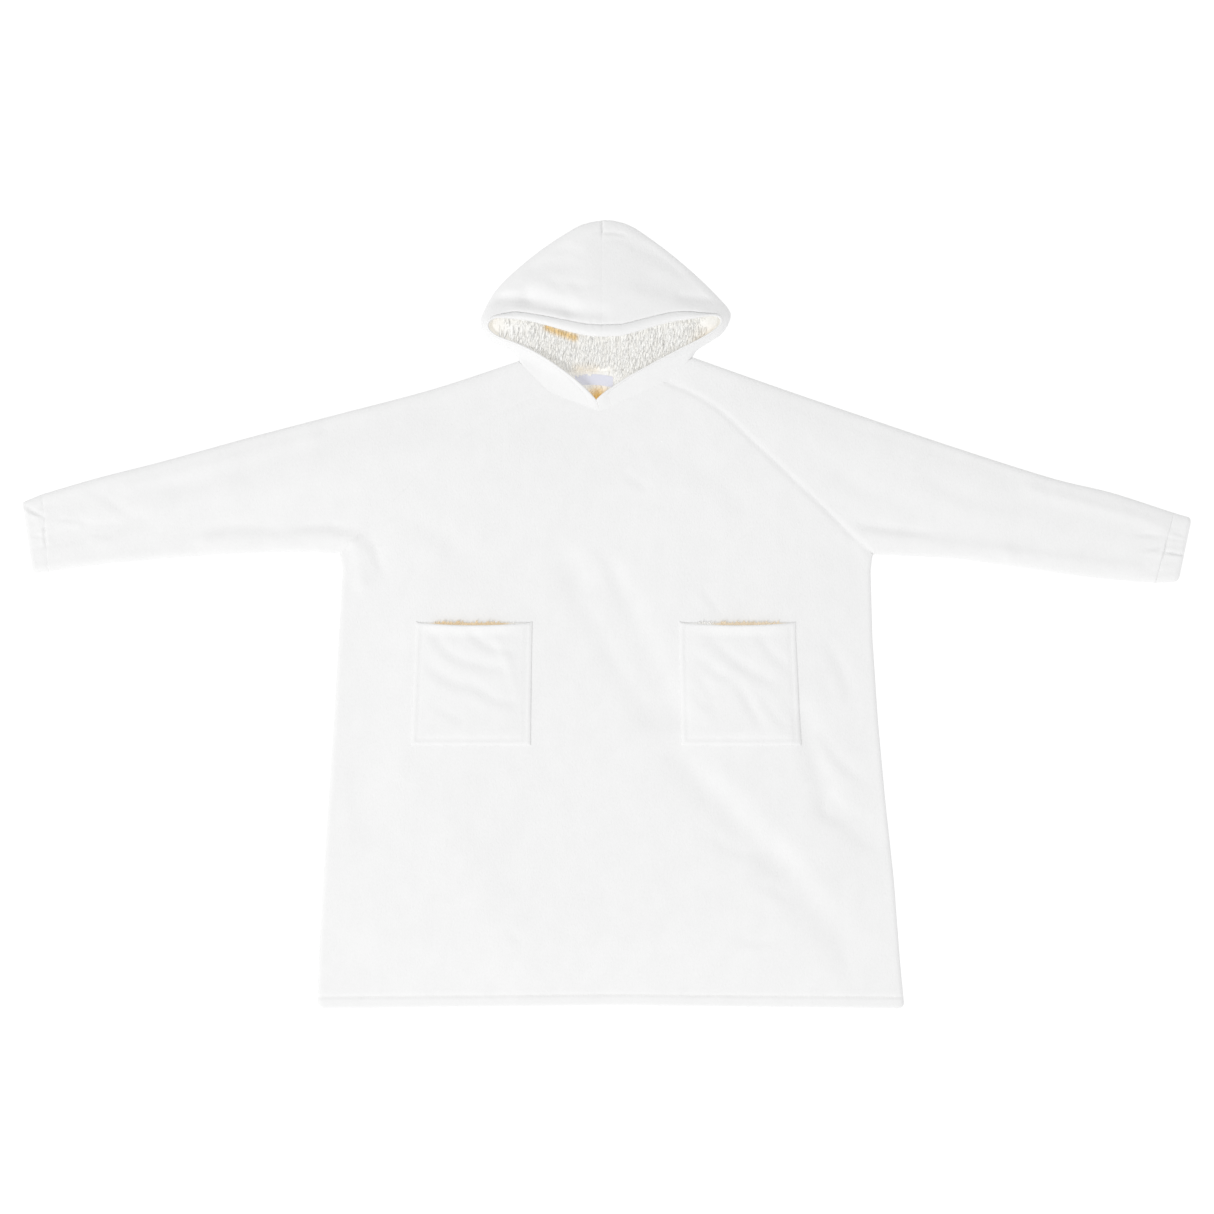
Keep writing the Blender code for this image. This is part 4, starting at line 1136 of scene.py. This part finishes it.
def pocket(side, plush, pile):
    """A patch pocket that follows the front, with an open mouth and a groove for its stitches."""
    height = POCKET_MOUTH_Y - POCKET_BOTTOM_Y
    rows = np.concatenate([EDGE_FINE, spaced(EDGE_REACH, height - EDGE_REACH, POCKET_SPACING),
                           height - np.array(EDGE_FINE[-2::-1])])
    plan = []
    for y in POCKET_BOTTOM_Y + rows:
        left, right = body_sides(y)
        middle = (left + right) / 2
        edge = left if side == "left" else right
        ends = sorted(lerp(middle, edge, share) for share in POCKET_SHARES)
        width = ends[1] - ends[0]
        columns = section_distances(width, POCKET_COLUMNS)
        plan.append(np.column_stack([ends[0] + columns, np.full(len(columns), y)]))
    plan = np.array(plan)
    across = np.linspace(-1.0, 1.0, plan.shape[1])[None, :]
    up = rows[:, None] / height
    plan[:, :, 1] -= MOUTH_SAG * (1 - across ** 2) * ramp(up, *SAG_ZONE)
    from_side = section_distances(width, POCKET_COLUMNS)
    from_side = np.minimum(from_side, width - from_side)[None, :]
    edge = np.minimum(from_side, rows[:, None])
    below_mouth = height - rows[:, None]
    stitched = dip(edge - POCKET_STITCH, POCKET_STITCH_WIDTH) * ramp(below_mouth, POCKET_STITCH_END)
    gape = (POCKET_PILE + LAYER_GAP + POCKET_GAPE) * ramp(up, *GAPE_ZONE)
    gape = gape * ramp(from_side, GAPE_REACH)
    thick = lerp(POCKET_EDGE_THICKNESS, POCKET_CLOTH, rounded(edge, POCKET_EDGE_REACH))
    thick = thick - POCKET_STITCH_DEPTH * stitched
    thick *= lerp(MOUTH_THINNING, 1.0, rounded(below_mouth, MOUTH_REACH))
    creases = on_grid(crease_relief, plan, POCKET_CREASES[side])
    uneven = on_grid(mottle, plan, SEED + 4)
    loose = rounded(edge - POCKET_STITCH, LOOSE_REACH)
    base = FLAT_TOP + on_grid(lift, plan) + POCKET_GAP + gape
    puff = POCKET_PUFF * loose * (1 - dip(from_side, POCKET_PUFF_REACH))
    inner = np.dstack([plan, base])
    uneven = uneven * rounded(edge, POCKET_MOTTLE_REACH)
    outer = np.dstack([plan, base + thick + (creases + puff) * loose + uneven])
    return wall("pocket_cloth_" + side, outer, inner, plush, pile), outer


def pocket_pile(side, pocket_outer, pile):
    """The strip of pile that shows above the pocket's mouth."""
    mouth = pocket_outer[-1, MOUTH_ENDS:-MOUTH_ENDS]
    across = np.linspace(0.0, 1.0, len(mouth))
    shows = PILE_SHOWS * np.clip(np.sin(math.pi * across), 0.0, 1.0) ** PILE_CURVE - PILE_DIPS
    rise = lift(mouth[:, :2])
    rows_out, rows_in = [], []
    for share, high in PILE_STRIP:
        y = mouth[:, 1] - POCKET_PILE_DEPTH + (POCKET_PILE_DEPTH + shows) * share
        base = FLAT_TOP + rise + LAYER_GAP
        rows_out.append(np.column_stack([mouth[:, 0], y, base + POCKET_PILE * high]))
        rows_in.append(np.column_stack([mouth[:, 0], y, base]))
    outer, inner = np.array(rows_out), np.array(rows_in)
    return wall("pocket_lining_" + side, outer, inner, pile, pile), outer


def neck_label(woven):
    """A bare woven label under the back neck seam, slightly waved."""
    x = np.linspace(LABEL_LEFT_X, LABEL_RIGHT_X, LABEL_GRID[0])
    y = np.linspace(LABEL_BOTTOM_Y, LABEL_TOP_Y, LABEL_GRID[1])
    plan = np.dstack(np.meshgrid(x, y))
    up = (plan[:, :, 1] - LABEL_BOTTOM_Y) / (LABEL_TOP_Y - LABEL_BOTTOM_Y)
    wave = LABEL_WAVE_SHARE * np.sin((plan[:, :, 0] - LABEL_LEFT_X) / LABEL_WAVE)
    base = CLOTH + LAYER_GAP + LABEL_LIFT * (1 - up) * (LABEL_EVEN_SHARE + wave)
    plan[:, :, 1] -= LABEL_BOW * ((plan[:, :, 0] - LABEL_BOW_X) / (LABEL_RIGHT_X - LABEL_BOW_X)) ** 2
    outer = np.dstack([plan, base + LABEL_CLOTH])
    inner = np.dstack([plan, base])
    return wall("label_cloth", outer, inner, woven, woven), outer


def scatter(grid, spacing, draw, wanted=None, upward=1.0):
    """Random points on a grid of points, about one for each spacing squared, with normals.

    wanted tells which places get them, and upward is 1 where they face up and -1 where down.
    """
    first, second = grid[:-1, :-1], grid[:-1, 1:]
    third, fourth = grid[1:, 1:], grid[1:, :-1]
    normals = np.cross(third - first, fourth - second)
    areas = np.linalg.norm(normals, axis=2) / 2
    if wanted is not None:
        middles = (first + third)[:, :, :2] / 2
        areas = areas * on_grid(wanted, middles)
    count = round(areas.sum() / spacing ** 2)
    cells = draw.choice(areas.size, size=count, p=areas.ravel() / areas.sum())
    corners = [corner.reshape(-1, 3)[cells] for corner in (first, second, third, fourth)]
    u, v = draw.random((2, count, 1))
    points = (corners[0] * (1 - u) * (1 - v) + corners[1] * u * (1 - v)
              + corners[2] * u * v + corners[3] * (1 - u) * v)
    normals = normals.reshape(-1, 3)[cells]
    normals = normals / np.linalg.norm(normals, axis=1)[:, None]
    return points, normals * (upward * np.sign(normals[:, 2]))[:, None]


def inside_mouth(points, margin):
    """1 for points of the plan in the hood's mouth or within a margin of it, else 0."""
    left, right = (hood_rows(HOOD[side])[1][:, :2] for side in SIDES)
    loop = np.vstack([left, right[::-1]])
    crossings = np.zeros(len(points), dtype=int)
    for (x0, y0), (x1, y1) in zip(loop, np.roll(loop, -1, axis=0)):
        if y0 == y1:
            continue
        between = (points[:, 1] > min(y0, y1)) & (points[:, 1] <= max(y0, y1))
        at_x = x0 + (points[:, 1] - y0) * (x1 - x0) / (y1 - y0)
        crossings += between & (points[:, 0] < at_x)
    near = path_distance(points, loop) < margin
    return ((crossings % 2 == 1) | near).astype(float)


def on_label(points):
    x, y = points.T
    return ((x > LABEL_LEFT_X - LABEL_CLEAR) & (x < LABEL_RIGHT_X + LABEL_CLEAR)
            & (y > LABEL_BOTTOM_Y - LABEL_CLEAR) & (y < LABEL_TOP_Y + LABEL_CLEAR))


def mouth_pile(points):
    """How much of the lining's pile shows as locks, sparse towards the mouth's ends."""
    ends = np.interp(points[:, 0], LINING_LOCK_ENDS, (LINING_LOCK_LEAST, 1.0, 1.0, LINING_LOCK_LEAST))
    tips = points - (0.0, LINING_LOCK_TIP)
    clear = inside_mouth(points, LINING_LOCK_MARGIN) * inside_mouth(tips, LINING_LOCK_MARGIN)
    return clear * ends * ~on_label(tips)


def neck_pile(points):
    """1 for points of the back panel that show in the mouth's V, clear of the label."""
    return inside_mouth(points, 3.0) * ~on_label(points)


def locks(name, place, roots, normals, material, draw):
    """Curled locks of pile, one at each root, joined in one mesh."""
    length, width, flat, upright, comb, spread, curliness = LOCKS[place]
    count = len(roots)
    long = length * draw.uniform(*LOCK_LENGTHS, count)[:, None]
    heading = upright * normals + draw.normal(0.0, spread, (count, 3)) + np.array((0.0, comb, 0.0))
    heading /= np.linalg.norm(heading, axis=1)[:, None]
    side = np.cross(heading, (1 - flat) * normals + draw.normal(0.0, LOCK_ROLL, (count, 3)))
    side /= np.linalg.norm(side, axis=1)[:, None]
    other = np.cross(heading, side)
    curl = curliness * draw.uniform(*LOCK_CURLS, count)[:, None] * long
    thick = width * draw.uniform(*LOCK_WIDTHS, count)[:, None] / 2
    rings = []
    for share, full in LOCK_RINGS:
        centre = roots + heading * long * (share - LOCK_ROOT) + side * curl * share ** 2
        centre = centre + other * curl * LOCK_SWAY * math.sin(LOCK_TWIST * share)
        for corner in range(LOCK_SIDES):
            angle = 2 * math.pi * corner / LOCK_SIDES
            out = side * math.cos(angle) + other * flat * math.sin(angle)
            rings.append(centre + out * thick * full)
    tip = roots + heading * long * LOCK_TIP[0] + side * curl * LOCK_TIP[1]
    points = np.stack(rings + [tip], axis=1)
    each = points.shape[1]
    quads = grid_faces(len(LOCK_RINGS), LOCK_SIDES, ring=True)
    last = (len(LOCK_RINGS) - 1) * LOCK_SIDES
    ends = [(last + corner, last + (corner + 1) % LOCK_SIDES, each - 1) for corner in range(LOCK_SIDES)]
    starts = np.arange(count)[:, None, None] * each
    quads = (quads[None] + starts).reshape(-1, 4)
    ends = (np.array(ends)[None] + starts).reshape(-1, 3)
    return make_object(name, points.reshape(-1, 3), quads.tolist() + ends.tolist(), [material],
                       sharp=False)


def stitches(name, paths, material):
    """A line of thread stitches along each path, joined in one mesh."""
    points, faces = [], []
    for path in paths:
        count = int(arc_lengths(path)[-1] / STITCH_PITCH)
        starts = (np.arange(count) + 0.1) * STITCH_PITCH
        for start, end in zip(at_distances(path, starts),
                              at_distances(path, starts + STITCH_LENGTH)):
            along = (end - start) / np.linalg.norm(end - start)
            side = np.cross(along, (0.0, 0.0, 1.0))
            side /= np.linalg.norm(side)
            up = np.cross(side, along)
            first = len(points)
            for share, full, high in STITCH_RINGS:
                centre = lerp(start, end, share) + up * high
                for corner in range(STITCH_SIDES):
                    angle = 2 * math.pi * corner / STITCH_SIDES
                    out = side * math.cos(angle) + up * math.sin(angle)
                    points.append(centre + out * THREAD / 2 * full)
            faces += (grid_faces(len(STITCH_RINGS), STITCH_SIDES, ring=True) + first).tolist()
    return make_object(name, np.array(points), faces, [material])


def new_material(name, color, roughness, sheen):
    """A matt cloth material and its shader."""
    material = bpy.data.materials.new(name)
    material.use_nodes = True
    shader = material.node_tree.nodes["Principled BSDF"]
    shader.inputs["Base Color"].default_value = (*color, 1.0)
    shader.inputs["Roughness"].default_value = roughness
    shader.inputs["Specular IOR Level"].default_value = 0.15
    shader.inputs["Sheen Weight"].default_value = sheen
    shader.inputs["Sheen Roughness"].default_value = 0.5
    return material, shader


def add_node(tree, kind, values, links):
    """A shader node with some inputs set and some linked from other nodes' sockets."""
    node = tree.nodes.new(kind)
    for key, value in values.items():
        node.inputs[key].default_value = value
    for key, socket in links.items():
        tree.links.new(socket, node.inputs[key])
    return node


def add_noise(tree, scale, detail, stretch):
    """A noise texture in the object's own coordinates."""
    place = tree.nodes.new("ShaderNodeTexCoord").outputs["Object"]
    mapping = add_node(tree, "ShaderNodeMapping", {"Scale": stretch}, {"Vector": place})
    return add_node(tree, "ShaderNodeTexNoise", {"Scale": scale, "Detail": detail},
                    {"Vector": mapping.outputs["Vector"]})


def add_color(tree, shader, texture, dark, light, ends):
    """Base colour between two shades, following a texture from one of its values to another."""
    ramp_node = add_node(tree, "ShaderNodeValToRGB", {}, {"Fac": texture.outputs["Fac"]})
    for element, position, color in zip(ramp_node.color_ramp.elements, ends, (dark, light)):
        element.position = position
        element.color = (*color, 1.0)
    tree.links.new(ramp_node.outputs["Color"], shader.inputs["Base Color"])


def add_bump(tree, shader, layers):
    """Bump from several noise textures: rows of scale, detail, stretch and height in mm."""
    below = {}
    for scale, detail, stretch, height in layers:
        texture = add_noise(tree, scale, detail, stretch)
        bump = add_node(tree, "ShaderNodeBump", {"Strength": 1.0, "Distance": height * MM},
                        {"Height": texture.outputs["Fac"], **below})
        below = {"Normal": bump.outputs["Normal"]}
    tree.links.new(below["Normal"], shader.inputs["Normal"])


def plush_material():
    """White short-napped plush: faint brushed patches and a fine nap."""
    material, shader = new_material("white_plush", PLUSH_LIGHT, roughness=0.95, sheen=0.25)
    tree = material.node_tree
    patches = add_noise(tree, *PLUSH_PATCHES)
    add_color(tree, shader, patches, PLUSH_DARK, PLUSH_LIGHT, PLUSH_PATCH_ENDS)
    add_bump(tree, shader, PLUSH_NAP)
    return material


def add_painted_shade(tree, shader):
    """Painted tan shade where the pile is deep, mixed over the colour that the shader has so far."""
    place = tree.nodes.new("ShaderNodeTexCoord").outputs["Object"]
    flat = add_node(tree, "ShaderNodeVectorMath", {1: (1.0, 1.0, 0.0)}, {0: place})
    flat.operation = "MULTIPLY"
    total = None
    spots = []
    for start_x, start_y, end_x, end_y, radius, strength in PAINTED_SHADE_SPOTS:
        count = 1 + math.ceil(math.hypot(end_x - start_x, end_y - start_y) / PAINTED_SHADE_STEP)
        spots += [(*lerp((start_x, start_y), (end_x, end_y), share), radius, strength)
                  for share in np.linspace(0.0, 1.0, count)]
    for x, y, radius, strength in spots:
        away = add_node(tree, "ShaderNodeVectorMath", {1: (x * MM, y * MM, 0.0)},
                        {0: flat.outputs["Vector"]})
        away.operation = "DISTANCE"
        fade = add_node(tree, "ShaderNodeMapRange",
                        {"From Min": 0.0, "From Max": radius * MM, "To Min": strength, "To Max": 0.0},
                        {"Value": away.outputs["Value"]})
        fade.interpolation_type = "SMOOTHSTEP"
        if total is None:
            total = fade.outputs["Result"]
        else:
            most = add_node(tree, "ShaderNodeMath", {}, {0: total, 1: fade.outputs["Result"]})
            most.operation = "MAXIMUM"
            total = most.outputs["Value"]
    mix = tree.nodes.new("ShaderNodeMix")
    mix.data_type = "RGBA"
    mix.inputs["B"].default_value = (*TAN, 1.0)
    tree.links.new(total, mix.inputs["Factor"])
    tree.links.new(shader.inputs["Base Color"].links[0].from_socket, mix.inputs["A"])
    tree.links.new(mix.outputs["Result"], shader.inputs["Base Color"])
    # the painted glow takes the same colour, painted tan shade included
    tree.links.new(mix.outputs["Result"], shader.inputs["Emission Color"])


def pile_material():
    """Cream curly pile, with painted tan shade where it is deep and a painted glow."""
    material, shader = new_material("cream_pile", PILE_LIGHT, roughness=1.0, sheen=0.3)
    tree = material.node_tree
    add_color(tree, shader, add_noise(tree, *PILE_CLUMPS), PILE_DARK, PILE_LIGHT, PILE_CLUMP_ENDS)
    add_painted_shade(tree, shader)
    # painted light: the pile glows
    shader.inputs["Emission Strength"].default_value = PILE_PAINTED_GLOW
    add_bump(tree, shader, PILE_FIBRES)
    return material


def woven_material():
    """Smooth woven tape, white with a little blue, darkened by painted shade."""
    material, shader = new_material("label_tape", SHADED_WOVEN_COLOR, roughness=0.55, sheen=0.1)
    tree = material.node_tree
    place = tree.nodes.new("ShaderNodeTexCoord").outputs["Object"]
    wave = add_node(tree, "ShaderNodeTexWave", {"Scale": WEAVE_SCALE}, {"Vector": place})
    bump = add_node(tree, "ShaderNodeBump", {"Distance": WEAVE_HEIGHT * MM},
                    {"Height": wave.outputs["Fac"]})
    tree.links.new(bump.outputs["Normal"], shader.inputs["Normal"])
    return material


def thread_material():
    material, shader = new_material("sewing_thread", THREAD_COLOR, roughness=0.7, sheen=0.1)
    add_bump(material.node_tree, shader, THREAD_TWIST)
    return material


def floor():
    """The pale surface under the garment."""
    half = FLOOR_SIZE / 2
    points = np.array([(-half, -half, FLOOR_Z), (half, -half, FLOOR_Z),
                       (half, half, FLOOR_Z), (-half, half, FLOOR_Z)])
    material = bpy.data.materials.new("studio_floor")
    material.use_nodes = True
    shader = material.node_tree.nodes["Principled BSDF"]
    shader.inputs["Base Color"].default_value = (*FLOOR_COLOR, 1.0)
    shader.inputs["Roughness"].default_value = 0.9
    shader.inputs["Specular IOR Level"].default_value = 0.0
    shader.inputs["Emission Color"].default_value = (1.0, 1.0, 1.0, 1.0)
    shader.inputs["Emission Strength"].default_value = FLOOR_GLOW
    make_object("floor", points, [(0, 1, 2, 3)], [material])


def light():
    """Even light from all round, and a soft key from the lower left."""
    scene = bpy.context.scene
    world = bpy.data.worlds.new("studio")
    world.use_nodes = True
    background = world.node_tree.nodes["Background"]
    background.inputs["Color"].default_value = (1.0, 1.0, 1.0, 1.0)
    background.inputs["Strength"].default_value = FILL
    scene.world = world
    key = bpy.data.lights.new("key", "AREA")
    key.shape = "DISK"
    key.energy = KEY
    key.size = KEY_SIZE * MM
    lamp = bpy.data.objects.new("key", key)
    lamp.location = Vector(KEY_PLACE) * MM
    lamp.rotation_euler = Vector(KEY_PLACE).to_track_quat("Z", "Y").to_euler()
    scene.collection.objects.link(lamp)
    scene.view_settings.view_transform = "Standard"


def camera():
    """Straight above, so that a millimetre is the photograph's own fraction of its frame."""
    data = bpy.data.cameras.new("camera")
    data.sensor_width = SENSOR
    data.lens = LENS
    distance = PIXELS * MM_PER_PIXEL * LENS / SENSOR
    item = bpy.data.objects.new("camera", data)
    item.location = Vector((*FRAME_CENTRE, distance + FLAT_TOP)) * MM
    data.clip_end = 10 * distance * MM
    bpy.context.scene.collection.objects.link(item)
    bpy.context.scene.camera = item


def declare(piece, nodes):
    """Hangs a piece on the root body and hides the solids that it stands for."""
    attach(piece, "root")
    if nodes:
        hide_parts(*nodes)


def main():
    draw = np.random.default_rng(SEED)
    plush, pile = plush_material(), pile_material()
    woven, thread = woven_material(), thread_material()

    back, back_top = back_panel(plush, pile)
    roots, normals = scatter(back_top, NECK_LOCK_SPACING, draw, neck_pile)
    neck = locks("neck_locks", "neck", roots, normals, pile, draw)
    declare(neck, [])
    declare(back, ["back_panel"])
    front, front_outer = front_panel(plush, pile)
    hem_line = front_outer[HEM_FINE.index(HEM_STITCH), HEM_STITCH_ENDS:-HEM_STITCH_ENDS]
    hem = stitches("hem_stitches", [hem_line], thread)
    declare(hem, [])
    declare(front, ["front_panel"])
    for side in SIDES:
        arm = sleeve(side, plush, pile)
        declare(arm, ["sleeve_" + side])
        end = cuff(side, plush, pile)
        declare(end, ["cuff_" + side])

        hood, hood_outer, hood_inner = hood_half(side, plush, pile)
        seam = hood_outer[:, RIM_COLUMNS.index(RIM_SEAM)]
        rim = stitches("rim_stitches_" + side, [seam], thread)
        first = np.searchsorted(hood_rows(HOOD[side])[0], FLAP_LOCK_STATION)
        under = hood_inner[first:, slice(*FLAP_LOCK_COLUMNS)]
        roots, normals = scatter(under, FLAP_LOCK_SPACING, draw, upward=-1.0)
        inside = locks("hood_locks_" + side, "flap", roots, normals, pile, draw)
        declare(rim, [])
        declare(inside, [])
        declare(hood, ["hood_" + side])

        patch, patch_outer = pocket(side, plush, pile)
        strip, strip_outer = pocket_pile(side, patch_outer, pile)
        middle = strip_outer[:, :, 0].mean()
        roots, normals = scatter(strip_outer[1:], POCKET_LOCK_SPACING, draw,
                                 lambda points: abs(points[:, 0] - middle) < FRILL_HALF_WIDTH)
        frill = locks("pocket_locks_" + side, "pocket", roots, normals, pile, draw)
        declare(frill, [])
        declare(strip, ["pocket_pile_" + side])
        declare(patch, ["pocket_" + side])

    lining, lining_outer = hood_lining(pile)
    roots, normals = scatter(lining_outer, LINING_LOCK_SPACING, draw, mouth_pile)
    tufts = locks("lining_locks", "lining", roots, normals, pile, draw)
    declare(tufts, [])
    declare(lining, ["hood_lining"])
    label, _ = neck_label(woven)
    declare(label, ["neck_label"])

    floor()
    light()
    camera()


main()
